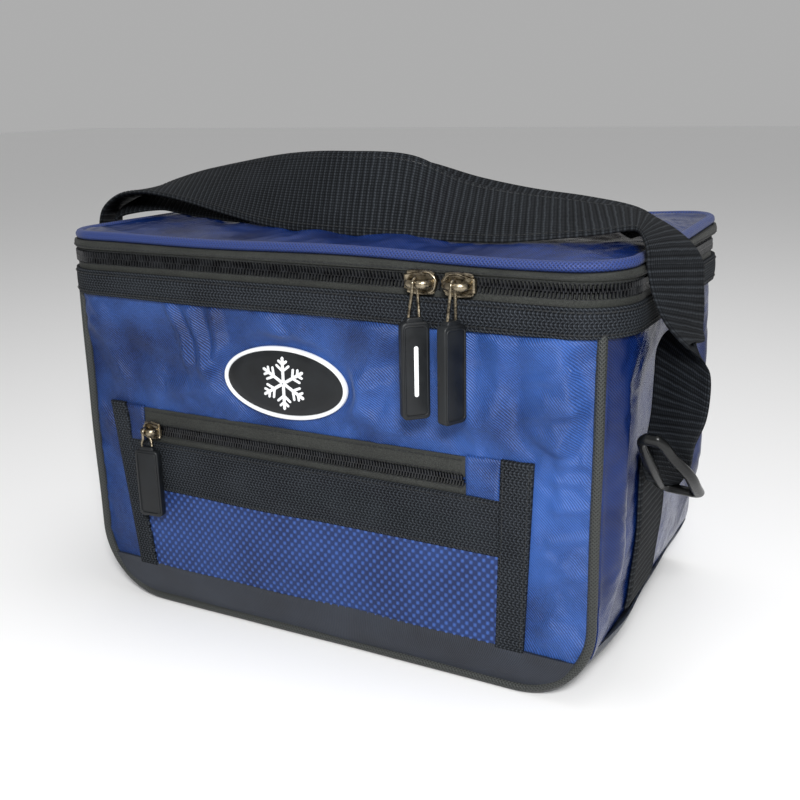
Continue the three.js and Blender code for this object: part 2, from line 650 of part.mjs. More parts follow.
// The strap's own doubled tail lies behind the bow, from one side to the other.
const TAIL_STATIONS = [
  [[-129, -33, 178.4], [-130.5, 4, 178.4]],
  [[-123.5, -24, 179.4], [-125, 13, 182]],
  [[-100, -26, 178], [-112, 6.5, 192.6]],
  [[-66, -37.5, 177.9], [-76.5, -5, 199.6]],
  [[-31, -43, 177.8], [-34.5, -18, 205.5]],
  [[4.5, -44, 177.8], [1, -20, 206.4]],
  [[26, -42, 177.9], [22.5, -14.5, 204.2]],
  [[46.5, -34, 178], [43, -1, 196.7]],
  [[67, -29, 178.4], [63.5, 6, 192]],
  [[91, -25, 180], [88, 12.5, 188.2]],
  [[109, -27, 180.6], [109.5, 10.5, 184.5]],
  [[120, -37, 178.8], [126, -1, 178.6]],
];

const RIGHT_LEG_STATIONS = [
  [[133.2, -60, 170.6], [145.2, -24, 166.4]],
  [[134.5, -60, 166], [145.5, -24, 161]],
  [[136.5, -60, 160], [145.7, -23, 154.5]],
  [[140, -59.5, 153], [146.8, -23, 146]],
  [[147, -59, 145.4], [144.5, -23, 139.7]],
  [[153.5, -58.5, 140.5], [137, -26.5, 136]],
  [[157.5, -59.5, 132.8], [132.6, -39, 128]],
  [[157, -60.5, 120.8], [132.4, -43.5, 115]],
  [[156.5, -60.5, 118], [132.4, -43.5, 112.4]],
];

const LEFT_LEG_STATIONS = [
  [[-134.6, -48.5, 168.5], [-138.6, -11.5, 166]],
  [[-134.5, -48, 150], [-138, -11, 147]],
  [[-132.5, -42, 123], [-134.5, -4, 121]],
  [[-132.2, -36, 100.5], [-132.6, 2, 99.6]],
];

// The strap adjuster: a moulded ring round one long slot, in its own flat frame.
function adjusterRing() {
  const ring = new THREE.Shape();
  const [halfLength, halfWidth, corner] = [23, 9.5, 4];
  const [slotLength, slotWidth, thickness] = [18.8, 5.3, 3.2];
  const [x, y] = [halfLength - corner, halfWidth - corner];
  ring.moveTo(-x, -halfWidth);
  ring.lineTo(x, -halfWidth);
  ring.absarc(x, -y, corner, -Math.PI / 2, 0);
  ring.absarc(x, y, corner, 0, Math.PI / 2);
  ring.absarc(-x, y, corner, Math.PI / 2, Math.PI);
  ring.absarc(-x, -y, corner, Math.PI, 1.5 * Math.PI);
  const slot = [[-1, -1], [-1, 1], [1, 1], [1, -1]];
  const inside = slot.map(([u, v]) => new THREE.Vector2(u * slotLength, v * slotWidth));
  ring.holes.push(new THREE.Path(inside));
  const settings = { depth: thickness, bevelEnabled: false, curveSegments: 3 };
  return new THREE.ExtrudeGeometry(ring, settings).translate(0, 0, -thickness / 2);
}

function addStrap() {
  add('side_webbing_left', sideWebbing(-1, 98), BLACK_WEBBING);
  add('side_webbing_right', sideWebbing(1, 94), BLACK_WEBBING);
  add('strap_bow', ribbon(BOW_STATIONS, WEBBING_T, 51), BLACK_WEBBING);
  add('strap_tail', ribbon(TAIL_STATIONS, WEBBING_T, 44), BLACK_WEBBING);
  add('strap_leg_right', ribbon(RIGHT_LEG_STATIONS, WEBBING_T, 28), BLACK_WEBBING);
  add('strap_leg_left', ribbon(LEFT_LEG_STATIONS, WEBBING_T, 12), BLACK_WEBBING);
  const along = at(0.02, 0.72, -0.69).normalize();
  const across = at(-1, 0.07, 0.04).projectOnPlane(along).normalize();
  const placed = new THREE.Matrix4().makeBasis(along, across, along.clone().cross(across));
  placed.setPosition(142.5, -46.5, 93.5);
  const turned = new THREE.Group();
  turned.applyMatrix4(placed);
  bag.add(turned);
  add('strap_adjuster', adjusterRing(), BLACK_PLASTIC, turned);
}

addBody();
addMouth();
addLid();
addMainSliders();
addBadge();
add('front_base_band', frontBaseBand(), NAVY_BASE);
addPocket();
addStrap();

export default bag;
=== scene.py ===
import math

import bmesh
import bpy
import numpy as np
from mathutils import Matrix, Vector


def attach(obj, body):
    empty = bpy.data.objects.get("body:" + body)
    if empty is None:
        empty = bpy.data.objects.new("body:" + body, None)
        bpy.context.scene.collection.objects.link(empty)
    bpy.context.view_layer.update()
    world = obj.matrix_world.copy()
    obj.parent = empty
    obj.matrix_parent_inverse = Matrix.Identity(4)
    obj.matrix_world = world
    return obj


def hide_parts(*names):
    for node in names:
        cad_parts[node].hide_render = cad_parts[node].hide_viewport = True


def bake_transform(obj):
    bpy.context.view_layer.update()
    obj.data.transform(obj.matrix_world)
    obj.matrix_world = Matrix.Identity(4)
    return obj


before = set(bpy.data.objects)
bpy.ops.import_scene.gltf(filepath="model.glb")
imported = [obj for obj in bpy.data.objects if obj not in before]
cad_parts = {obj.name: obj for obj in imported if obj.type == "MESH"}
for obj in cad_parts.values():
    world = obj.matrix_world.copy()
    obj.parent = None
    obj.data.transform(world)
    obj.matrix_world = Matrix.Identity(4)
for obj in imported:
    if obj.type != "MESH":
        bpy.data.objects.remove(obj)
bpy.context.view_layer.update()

MM = 0.001

# ---------------------------------------------------------------- driving sizes, mm
HALF_WIDTH = 124.5            # body skin at the front and back seams
HALF_DEPTH = 74.0             # front and back faces
CORNER_R = 34.0               # rounded bottom corners
BASE_TOP = 24.0               # top of the base fabric on the sides
PIPING_INSET = 2.2
PIPING_R = 2.0
ZIP_HALF_WIDTH = 130.0
ZIP_HALF_DEPTH = 78.5
ZIP_CORNER_R = 21.0
ZIP_Z = 165.0
ZIP_SIDE_END = 56.0
BAND_BOTTOM = 148.0
BAND_TOP = 159.5
LID_EDGE = 175.6
LID_PIPING_Z = 173.8
LID_PIPING_OFFSET = -0.9
LID_BAND = (168.8, 171.7)
BASE_BAND_TOP = 19.0
POCKET_TOP = 98.0
POCKET_ZIP_Z = 87.0
POCKET_BAND = (57.4, 81.0)
POCKET_ZIP_ENDS = (-91.5, 70.0)
STRAP_T = 1.6
STRAP_WIDTH = 38.0
STRAP_COLUMNS = 25            # points across a webbing's width
THREAD_COLUMNS = (2, 22)      # the two of them that its sewing lines follow
CLOTH_T = 0.5
STRAP_SEWN_Y = -20.0         # middle of the webbing sewn to each side
PULLER_BAR_Y = -86.1
PULLER_GRIP_Y = -87.5
GRIP_ROOM = 5.8               # the front cloth stays this far behind the middle of the grips
FOLD_STRENGTH = 1.6
BADGE = (-13.0, 117.0)
LEFT_SLIDER_X = 54.8
RIGHT_SLIDER_X = 70.2
POCKET_SLIDER_X = -86.0
WEAVE_UV = "weave"            # the UV map that holds each fabric's own length and width in mm


# ---------------------------------------------------------------- mesh building
def smooth(x):
    x = np.clip(x, 0.0, 1.0)
    return x * x * (3 - 2 * x)


def bump(x, centre, width):
    return np.exp(-(((x - centre) / width) ** 2))


def quads(ids):
    a, b, c, d = ids[:-1, :-1], ids[:-1, 1:], ids[1:, 1:], ids[1:, :-1]
    return np.stack([a, b, c, d], axis=-1).reshape(-1, 4)


def build(name, points, faces, face_uvs, look, sharp=40.0):
    """A mesh object from points in mm, with faces as index lists and one (u, v) per face corner."""
    mesh = bpy.data.meshes.new(name)
    mesh.from_pydata((np.asarray(points, float) * MM).tolist(), [], [list(map(int, f)) for f in faces])
    layer = mesh.uv_layers.new(name=WEAVE_UV)
    flat = np.concatenate([np.asarray(uv, float).reshape(-1, 2) for uv in face_uvs])
    layer.data.foreach_set("uv", flat.reshape(-1))
    work = bmesh.new()
    work.from_mesh(mesh)
    bmesh.ops.recalc_face_normals(work, faces=work.faces)
    work.to_mesh(mesh)
    work.free()
    mesh.shade_smooth()
    mesh.set_sharp_from_angle(angle=math.radians(sharp))
    mesh.materials.append(look)
    piece = bpy.data.objects.new(name, mesh)
    bpy.context.scene.collection.objects.link(piece)
    return piece


def lengths(path):
    """Distance in mm along a row of points."""
    steps = np.linalg.norm(np.diff(path, axis=0), axis=1)
    return np.concatenate([[0.0], np.cumsum(steps)])


def grid_uv(grid, loop=False):
    """(u, v) in mm over a grid of points, measured along its middle row and middle column."""
    row = grid[grid.shape[0] // 2]
    if loop:
        row = np.vstack([row, row[:1]])
    u = lengths(row)
    v = lengths(grid[:, grid.shape[1] // 2])
    return np.stack(np.meshgrid(u, v), axis=-1)


def slab(name, outer, inner, look, loop=False, uv=None, sharp=40.0):
    """A closed sheet between two grids of points, rows by columns by 3, in mm."""
    rows, cols = outer.shape[:2]
    count = rows * cols
    points = np.concatenate([outer.reshape(-1, 3), inner.reshape(-1, 3)])
    ids = np.arange(count).reshape(rows, cols)
    uv = grid_uv(outer, loop) if uv is None else uv
    if loop:
        ids = np.hstack([ids, ids[:, :1]])
    uv_ids = np.arange(uv.shape[0] * uv.shape[1]).reshape(uv.shape[:2])
    uv_flat = uv.reshape(-1, 2)
    faces = [quads(ids), quads(ids)[:, ::-1] + count]
    face_uvs = [uv_flat[quads(uv_ids)], uv_flat[quads(uv_ids)[:, ::-1]]]
    edges = [(ids[0], uv_ids[0]), (ids[-1], uv_ids[-1])]
    if not loop:
        edges += [(ids[:, 0], uv_ids[:, 0]), (ids[:, -1], uv_ids[:, -1])]
    for line, uv_line in edges:
        faces.append(np.stack([line[:-1], line[1:], line[1:] + count, line[:-1] + count], axis=-1))
        pair = uv_flat[np.stack([uv_line[:-1], uv_line[1:], uv_line[1:], uv_line[:-1]], axis=-1)]
        face_uvs.append(pair)
    return build(name, points, np.concatenate(faces), face_uvs, look, sharp)


def sweep(name, rings, look, loop=False, sharp=50.0):
    """A tube through a row of section loops, rings by points by 3, in mm."""
    rings = np.asarray(rings, float)
    count, around = rings.shape[:2]
    points = rings.reshape(-1, 3)
    ids = np.arange(count * around).reshape(count, around)
    wrapped = np.hstack([ids, ids[:, :1]])
    along = lengths(rings.mean(axis=1))
    section = lengths(np.vstack([rings[0], rings[0][:1]]))
    if loop:
        wrapped = np.vstack([wrapped, wrapped[:1]])
        along = np.append(along, along[-1] + np.linalg.norm(rings[0].mean(0) - rings[-1].mean(0)))
    uv = np.stack(np.meshgrid(section, along), axis=-1)[:, :, ::-1]
    uv_ids = np.arange(uv.shape[0] * uv.shape[1]).reshape(uv.shape[:2])
    faces = [list(f) for f in quads(wrapped)]
    face_uvs = [uv.reshape(-1, 2)[quads(uv_ids)].reshape(-1, 2)]
    if not loop:
        for ring, v in ((ids[0], 0.0), (ids[-1], along[-1])):
            faces.append(list(ring))
            face_uvs.append(np.full((around, 2), v))
    return build(name, points, faces, face_uvs, look, sharp)


def tube_rings(path, radius, side, sides=12, flat=1.0):
    """Rings of a round tube along a path; side stays square to the path. flat squeezes it along side."""
    path = np.asarray(path, float)
    side = np.broadcast_to(np.asarray(side, float), path.shape)
    tangent = np.gradient(path, axis=0)
    tangent /= np.linalg.norm(tangent, axis=1, keepdims=True)
    across = np.cross(side, tangent)
    across /= np.linalg.norm(across, axis=1, keepdims=True)
    angles = 2 * np.pi * np.arange(sides) / sides
    return (path[:, None] + radius * (np.cos(angles)[None, :, None] * across[:, None]
            + flat * np.sin(angles)[None, :, None] * side[:, None]))


def join_parts(name, parts, look):
    """One object from many closed point-and-face parts, with plain box UVs."""
    points, faces, face_uvs, start = [], [], [], 0
    for part_points, part_faces in parts:
        part_points = np.asarray(part_points, float)
        points.append(part_points)
        for face in part_faces:
            faces.append([start + k for k in face])
            face_uvs.append(part_points[list(face)][:, [0, 2]])
        start += len(part_points)
    return build(name, np.concatenate(points), faces, face_uvs, look)


def capsule(start, end, radius, side, flat=1.0, sides=6):
    """A short thread or tooth with rounded ends, as points and faces."""
    start, end, side = (np.asarray(p, float) for p in (start, end, side))
    axis = end - start
    axis /= np.linalg.norm(axis)
    across = np.cross(side, axis)
    across /= np.linalg.norm(across)
    angles = 2 * np.pi * np.arange(sides) / sides
    circle = np.cos(angles)[:, None] * across + flat * np.sin(angles)[:, None] * side
    stations = ((start - axis * radius * 0.7, 0.35), (start, 1.0), (end, 1.0), (end + axis * radius * 0.7, 0.35))
    points = np.concatenate([centre + radius * scale * circle for centre, scale in stations])
    faces = []
    for ring in range(3):
        for k in range(sides):
            n = (k + 1) % sides
            faces.append([ring * sides + k, ring * sides + n, (ring + 1) * sides + n, (ring + 1) * sides + k])
    faces.append(list(range(sides))[::-1])
    faces.append([3 * sides + k for k in range(sides)])
    return points, faces


def bevelled(piece, width):
    """Rounds a piece's sharp edges by a width in mm and applies it."""
    modifier = piece.modifiers.new("Bevel", "BEVEL")
    modifier.width = width * MM
    modifier.segments = 3
    modifier.limit_method = "ANGLE"
    modifier.angle_limit = math.radians(30)
    modifier.harden_normals = False
    settle(piece)
    piece.data.shade_smooth()
    piece.data.set_sharp_from_angle(angle=math.radians(50))
    return piece


def settle(piece):
    """Applies every modifier on a piece."""
    graph = bpy.context.evaluated_depsgraph_get()
    mesh = bpy.data.meshes.new_from_object(piece.evaluated_get(graph), preserve_all_data_layers=True,
                                           depsgraph=graph)
    piece.modifiers.clear()
    piece.data = mesh


def prism(name, outline, back, front, look, bevel=0.4, place=None):
    """A plate from an outline of (x, z) between two depths, with rounded edges. place maps points to mm."""
    count = len(outline)
    points = [(x, back, z) for x, z in outline] + [(x, front, z) for x, z in outline]
    faces = [list(range(count)), list(range(2 * count - 1, count - 1, -1))]
    faces += [[k, (k + 1) % count, count + (k + 1) % count, count + k] for k in range(count)]
    points = np.asarray(points, float)
    uvs = [points[face][:, [0, 2]] for face in faces]
    if place is not None:
        points = place(points)
    return bevelled(build(name, points, faces, uvs, look), bevel)


def dress(piece, body, slot, *replaced):
    """Puts a piece on its body and hides the CAD nodes that it stands for; its slot argument is not used."""
    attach(piece, body)
    if replaced:
        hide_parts(*replaced)
    return piece


# ---------------------------------------------------------------- material building
class Finish:
    """A Principled material with short helpers for its nodes."""

    def __init__(self, name, colour, roughness, **sockets):
        self.material = bpy.data.materials.new(name)
        self.material.use_nodes = True
        self.nodes = self.material.node_tree.nodes
        self.links = self.material.node_tree.links
        self.shader = self.nodes["Principled BSDF"]
        self.shader.inputs["Base Color"].default_value = (*colour, 1)
        self.shader.inputs["Roughness"].default_value = roughness
        for socket, value in sockets.items():
            self.shader.inputs[socket.replace("_", " ")].default_value = value

    def add(self, kind, inputs=None, **settings):
        node = self.nodes.new(kind)
        for key, value in settings.items():
            setattr(node, key, value)
        for key, value in (inputs or {}).items():
            self.feed(node.inputs[key], value)
        return node

    def feed(self, socket, value):
        if isinstance(value, bpy.types.NodeSocket):
            self.links.new(value, socket)
        else:
            socket.default_value = value

    def math(self, operation, a, b=0.0, c=0.0):
        return self.add("ShaderNodeMath", {0: a, 1: b, 2: c}, operation=operation).outputs[0]

    def uv(self):
        """The fabric's own length and width, in mm."""
        split = self.add("ShaderNodeSeparateXYZ", {0: self.add("ShaderNodeUVMap", uv_map=WEAVE_UV).outputs["UV"]})
        return split.outputs["X"], split.outputs["Y"]

    def place(self):
        """The point in mm, in the object's own frame."""
        spot = self.add("ShaderNodeTexCoord").outputs["Object"]
        return self.add("ShaderNodeVectorMath", {0: spot, 1: (1000, 1000, 1000)}, operation="MULTIPLY").outputs[0]

    def noise(self, vector, pitch, detail=3.0, roughness=0.5):
        node = self.add("ShaderNodeTexNoise", {"Vector": vector, "Scale": 1 / pitch, "Detail": detail,
                                               "Roughness": roughness})
        return node.outputs["Fac"]

    def wave(self, value, pitch):
        """A sine from 0 to 1 with the given pitch in mm."""
        turn = self.math("SINE", self.math("MULTIPLY", value, 2 * math.pi / pitch))
        return self.math("MULTIPLY_ADD", turn, 0.5, 0.5)

    def ridge(self, value, pitch):
        """Rounded ribs from 0 to 1 with the given pitch in mm."""
        return self.math("ABSOLUTE", self.math("SINE", self.math("MULTIPLY", value, math.pi / pitch)))

    def ramp(self, value, low, high, colour_low, colour_high):
        node = self.add("ShaderNodeMapRange", {0: value, 1: low, 2: high})
        mix = self.add("ShaderNodeMix", {"Factor": node.outputs[0]}, data_type="RGBA")
        self.feed(mix.inputs[6], (*colour_low, 1))
        self.feed(mix.inputs[7], (*colour_high, 1))
        return mix.outputs[2]

    def span(self, value, low, high, out_low, out_high):
        return self.add("ShaderNodeMapRange", {0: value, 1: low, 2: high, 3: out_low, 4: out_high}).outputs[0]

    def colour(self, value):
        self.feed(self.shader.inputs["Base Color"], value)

    def roughness(self, value):
        self.feed(self.shader.inputs["Roughness"], value)

    def relief(self, height, depth, base=None):
        """Bump from a height of 0 to 1 that is depth mm deep."""
        inputs = {"Height": height, "Distance": depth * MM, "Strength": 1.0}
        if base is not None:
            inputs["Normal"] = base
        normal = self.add("ShaderNodeBump", inputs).outputs["Normal"]
        self.feed(self.shader.inputs["Normal"], normal)
        return normal


def satin_fabric():
    """Blue satin nylon: a fine diagonal twill with bright threads and a soft sheen."""
    look = Finish("satin_nylon", (0.016, 0.055, 0.30), 0.36, Sheen_Weight=0.10, Sheen_Roughness=0.35,
                  Sheen_Tint=(0.35, 0.5, 1.0, 1), Specular_IOR_Level=0.27)
    u, v = look.uv()
    twill = look.wave(look.math("ADD", u, v), 1.25)
    thread = look.wave(look.math("SUBTRACT", u, v), 0.8)
    weave = look.math("MULTIPLY_ADD", twill, 0.72, look.math("MULTIPLY", thread, 0.28))
    cloud = look.noise(look.place(), 30, 4)
    grain = look.noise(look.place(), 0.6, 1)
    spark = look.math("MULTIPLY", weave, look.math("MULTIPLY_ADD", grain, 1.1, 0.1))
    # Painted sheen: the tone rises steadily along u, so each panel is painted brighter towards the right of the
    # front, standing in for the satin's reflection; the cloud noise adds random tone on top.
    cloud_and_painted_sheen = look.math("MULTIPLY_ADD", u, 0.0013, look.math("MULTIPLY", cloud, 1.1))
    tone = look.math("MULTIPLY_ADD", spark, 0.85, cloud_and_painted_sheen)
    look.colour(look.ramp(tone, 0.62, 1.38, (0.0008, 0.0042, 0.034), (0.034, 0.100, 0.35)))
    look.roughness(look.span(look.math("ADD", weave, cloud), 0.4, 1.6, 0.44, 0.26))
    look.relief(weave, 0.2)
    return look.material


def coated_fabric():
    """Blue coated nylon: a smooth glossy film over a faint square weave."""
    look = Finish("coated_nylon", (0.010, 0.032, 0.20), 0.3, Coat_Weight=0.12, Coat_Roughness=0.2,
                  Specular_IOR_Level=0.26)
    u, v = look.uv()
    weave = look.math("MULTIPLY", look.ridge(u, 0.7), look.ridge(v, 0.7))
    cloud = look.noise(look.place(), 30, 4)
    ripple = look.noise(look.place(), 7, 3)
    twill = look.wave(look.math("ADD", u, v), 1.25)
    tone = look.math("MULTIPLY_ADD", twill, 0.22, cloud)
    look.colour(look.ramp(tone, 0.35, 0.9, (0.0008, 0.0045, 0.036), (0.008, 0.030, 0.15)))
    look.roughness(look.span(cloud, 0.3, 0.7, 0.27, 0.19))
    first = look.relief(ripple, 0.16)
    look.relief(look.math("ADD", weave, twill), 0.05, first)
    return look.material


def dobby_fabric():
    """Blue textured pocket cloth: raised cells over a fine weave."""
    look = Finish("dobby_cloth", (0.02, 0.06, 0.3), 0.42, Sheen_Weight=0.08, Sheen_Roughness=0.4,
                  Sheen_Tint=(0.35, 0.5, 1.0, 1), Specular_IOR_Level=0.35)
    u, v = look.uv()
    cell = dobby_nodes(look, u, v)
    thread = look.math("MULTIPLY", look.wave(look.math("ADD", u, v), 0.6), 0.3)
    patch = look.math("MULTIPLY", look.noise(look.place(), 24, 3), 0.6)
    tone = look.math("ADD", cell, look.math("ADD", thread, patch))
    look.colour(look.ramp(tone, 0.25, 1.35, (0.0015, 0.006, 0.042), (0.030, 0.085, 0.31)))
    look.roughness(look.span(cell, 0.0, 1.0, 0.6, 0.33))
    look.relief(look.math("ADD", thread, cell), 0.12)
    return look.material


DOBBY_PITCH = (3.7, 2.1)


def dobby_nodes(look, u, v):
    """Raised cells in brick order, from 0 to 1, matching dobby_height."""
    a = look.math("COSINE", look.math("MULTIPLY", u, 2 * math.pi / DOBBY_PITCH[0]))
    b = look.math("COSINE", look.math("MULTIPLY", v, math.pi / DOBBY_PITCH[1]))
    return look.math("SMOOTH_MAX", look.math("MULTIPLY", a, b), 0.0, 0.3)


def dobby_height(u, v):
    return np.clip(np.cos(2 * np.pi * u / DOBBY_PITCH[0]) * np.cos(np.pi * v / DOBBY_PITCH[1]), 0, 1)


def webbing(name, rib=3.0, dash=1.3, depth=0.35, lift=1.0, zigzag=0.0):
    """Black woven webbing: bright ridges across its width with short upright stitches between them."""
    look = Finish(name, (0.010, 0.011, 0.013), 0.7, Specular_IOR_Level=0.14)
    u, v = look.uv()
    place = look.place()
    fuzz = look.noise(place, 0.45, 2)
    slant = look.math("MULTIPLY_ADD", look.ridge(v, 3.4), zigzag, u)
    bend = look.math("MULTIPLY_ADD", look.noise(place, 5, 2), 0.9, slant)
    line = look.math("POWER", look.ridge(bend, rib), 7.0)
    stitch = look.math("POWER", look.ridge(v, dash), 1.5)
    dots = look.math("MULTIPLY", line, look.math("MULTIPLY_ADD", stitch, 0.7, 0.3))
    between = look.math("MULTIPLY", look.math("MULTIPLY", stitch, look.ridge(u, rib / 2)), 0.42)
    yarn = look.math("MAXIMUM", dots, between)
    patch = look.noise(place, 16, 3)
    worn = look.math("MULTIPLY", yarn, look.math("MULTIPLY_ADD", fuzz, 1.2, 0.3))
    tone = look.math("MULTIPLY_ADD", patch, 0.25, worn)
    look.colour(look.ramp(tone, 0.12, 1.1, (0.0010, 0.0015, 0.0024), (0.072 * lift, 0.084 * lift, 0.100 * lift)))
    look.roughness(look.span(yarn, 0.0, 1.0, 0.85, 0.55))
    look.relief(look.math("MULTIPLY_ADD", fuzz, 0.2, yarn), depth)
    return look.material


def twill_tape():
    """Fine dark tape of the lid band and the zip tapes."""
    look = Finish("twill_tape", (0.015, 0.016, 0.017), 0.6, Sheen_Weight=0.03, Sheen_Roughness=0.45,
                  Specular_IOR_Level=0.25)
    u, v = look.uv()
    twill = look.wave(look.math("ADD", u, look.math("MULTIPLY", v, 1.6)), 0.75)
    grain = look.noise(look.place(), 0.45, 2)
    patch = look.noise(look.place(), 14, 3)
    mottle = look.math("ADD", grain, look.math("MULTIPLY", patch, 0.4))
    tone = look.math("ADD", look.math("MULTIPLY", twill, 0.5), mottle)
    look.colour(look.ramp(tone, 0.55, 1.35, (0.0030, 0.0034, 0.0032), (0.040, 0.043, 0.038)))
    look.roughness(look.span(grain, 0.3, 0.7, 0.7, 0.48))
    look.relief(look.math("ADD", twill, grain), 0.1)
    return look.material


def braid(name, dark, light, sheen):
    """Braided piping: two sets of slanted yarns that cross."""
    look = Finish(name, light, 0.5, Sheen_Weight=sheen, Sheen_Roughness=0.4)
    u, v = look.uv()
    left = look.ridge(look.math("MULTIPLY_ADD", v, 0.9, u), 1.5)
    right = look.ridge(look.math("MULTIPLY_ADD", v, -0.9, u), 1.5)
    plait = look.math("MAXIMUM", look.math("POWER", left, 2.5), look.math("POWER", right, 2.5))
    fuzz = look.noise(look.place(), 0.4, 2)
    tone = look.math("MULTIPLY_ADD", fuzz, 0.5, plait)
    look.colour(look.ramp(tone, 0.4, 1.3, dark, light))
    look.roughness(look.span(plait, 0.0, 1.0, 0.75, 0.45))
    look.relief(plait, 0.22)
    return look.material


def ribbed_fabric():
    """Dark base fabric with fine upright ribs."""
    look = Finish("ribbed_oxford", (0.008, 0.010, 0.016), 0.55, Sheen_Weight=0.06, Sheen_Roughness=0.4,
                  Sheen_Tint=(0.6, 0.75, 1.0, 1))
    u, v = look.uv()
    rib = look.ridge(look.math("MULTIPLY_ADD", v, 0.12, u), 0.85)
    cross = look.wave(v, 0.6)
    patch = look.noise(look.place(), 20, 3)
    tone = look.math("ADD", look.math("MULTIPLY", rib, 0.6), look.math("MULTIPLY_ADD", cross, 0.15, patch))
    look.colour(look.ramp(tone, 0.5, 1.3, (0.0035, 0.0045, 0.008), (0.016, 0.021, 0.033)))
    look.roughness(look.span(rib, 0.0, 1.0, 0.7, 0.45))
    look.relief(look.math("MULTIPLY_ADD", cross, 0.3, rib), 0.12)
    return look.material


def coil_nylon():
    look = Finish("coil_nylon", (0.012, 0.012, 0.014), 0.24, Specular_IOR_Level=0.4, Coat_Weight=0.08,
                  Coat_Roughness=0.15)
    scuff = look.noise(look.place(), 3, 3)
    look.colour(look.ramp(scuff, 0.35, 0.7, (0.0016, 0.0018, 0.0024), (0.009, 0.010, 0.012)))
    look.roughness(look.span(scuff, 0.3, 0.7, 0.2, 0.38))
    look.relief(scuff, 0.05)
    return look.material


def thread_finish():
    look = Finish("sewing_thread", (0.02, 0.021, 0.023), 0.6, Specular_IOR_Level=0.3)
    twist = look.noise(look.place(), 0.4, 2)
    look.colour(look.ramp(twist, 0.3, 0.7, (0.004, 0.0045, 0.005), (0.026, 0.028, 0.030)))
    look.roughness(look.span(twist, 0.3, 0.7, 0.65, 0.45))
    look.relief(twist, 0.06)
    return look.material


def rubber(name, dark, light, roughness):
    """Moulded soft rubber with a fine matt grain and dust in its low spots."""
    look = Finish(name, light, roughness, Specular_IOR_Level=0.35)
    grain = look.noise(look.place(), 0.35, 3)
    patch = look.noise(look.place(), 9, 4)
    look.colour(look.ramp(look.math("MULTIPLY_ADD", grain, 0.3, patch), 0.4, 0.95, dark, light))
    look.roughness(look.span(patch, 0.3, 0.7, roughness - 0.08, roughness + 0.12))
    look.relief(grain, 0.03)
    return look.material


def antique_metal():
    """Dull brassy gunmetal: darker in hollows, with fine scratches and worn bright patches."""
    look = Finish("antique_metal", (0.42, 0.36, 0.27), 0.26, Metallic=1.0)
    place = look.place()
    worn = look.noise(place, 2.6, 5, 0.6)
    brushed = look.add("ShaderNodeMapping", {"Vector": place, "Scale": (0.3, 3.0, 2.0)}).outputs[0]
    scratch = look.noise(brushed, 1.2, 3)
    look.colour(look.ramp(look.math("MULTIPLY_ADD", scratch, 0.35, worn), 0.45, 0.9, (0.06, 0.048, 0.036),
                          (0.40, 0.34, 0.24)))
    look.roughness(look.span(look.math("ADD", worn, scratch), 0.7, 1.3, 0.17, 0.42))
    look.relief(look.math("ADD", worn, scratch), 0.05)
    return look.material


def moulded_plastic():
    look = Finish("moulded_plastic", (0.008, 0.008, 0.009), 0.28, Specular_IOR_Level=0.35)
    grain = look.noise(look.place(), 0.7, 2)
    patch = look.noise(look.place(), 11, 3)
    look.colour(look.ramp(patch, 0.35, 0.7, (0.0022, 0.0025, 0.0028), (0.007, 0.008, 0.008)))
    look.roughness(look.span(patch, 0.3, 0.7, 0.22, 0.4))
    look.relief(grain, 0.025)
    return look.material


def foam_finish():
    look = Finish("closed_cell_foam", (0.8, 0.8, 0.76), 0.85)
    cells = look.add("ShaderNodeTexVoronoi", {"Vector": look.place(), "Scale": 1.4}).outputs["Distance"]
    look.colour(look.ramp(cells, 0.0, 0.8, (0.84, 0.84, 0.80), (0.66, 0.66, 0.62)))
    look.relief(cells, 0.25)
    return look.material


def liner_finish():
    """Silver-white heat-sealed liner film with crinkles."""
    look = Finish("liner_film", (0.6, 0.62, 0.64), 0.28, Metallic=0.35, Coat_Weight=0.3, Coat_Roughness=0.2)
    place = look.place()
    cells = look.add("ShaderNodeTexVoronoi", {"Vector": place, "Scale": 1 / 9}, feature="F2")
    crinkle = cells.outputs["Distance"]
    fine = look.noise(place, 3.5, 4)
    look.colour(look.ramp(fine, 0.3, 0.7, (0.50, 0.52, 0.54), (0.70, 0.72, 0.73)))
    look.roughness(look.span(fine, 0.3, 0.7, 0.22, 0.4))
    first = look.relief(crinkle, 0.8)
    look.relief(fine, 0.2, first)
    return look.material


SATIN = satin_fabric()
COATED = coated_fabric()
DOBBY = dobby_fabric()
STRAP_WEBBING = webbing("strap_webbing", lift=0.42)
BAND_WEBBING = webbing("band_webbing", rib=1.7, dash=1.15, depth=0.25, lift=0.75, zigzag=1.5)
TAPE = twill_tape()
BLACK_BRAID = braid("black_braid", (0.0018, 0.0022, 0.0022), (0.030, 0.034, 0.031), 0.03)
BLUE_BRAID = braid("blue_piping_cloth", (0.0022, 0.008, 0.055), (0.011, 0.038, 0.19), 0.06)
RIBBED = ribbed_fabric()
COIL = coil_nylon()
THREAD = thread_finish()
BLACK_RUBBER = rubber("black_rubber", (0.003, 0.0035, 0.0042), (0.009, 0.011, 0.013), 0.42)
WHITE_RUBBER = rubber("white_rubber", (0.72, 0.74, 0.75), (0.86, 0.87, 0.88), 0.42)
METAL = antique_metal()
PLASTIC = moulded_plastic()
FOAM = foam_finish()
LINER = liner_finish()


# ---------------------------------------------------------------- shared outlines
def body_half_width(z, inset=0.0):
    """Half the body's width at a height, measured inset mm inside the skin."""
    radius = CORNER_R - inset
    drop = np.clip(CORNER_R - z, 0, radius)
    return HALF_WIDTH - CORNER_R + np.sqrt(radius ** 2 - drop ** 2)


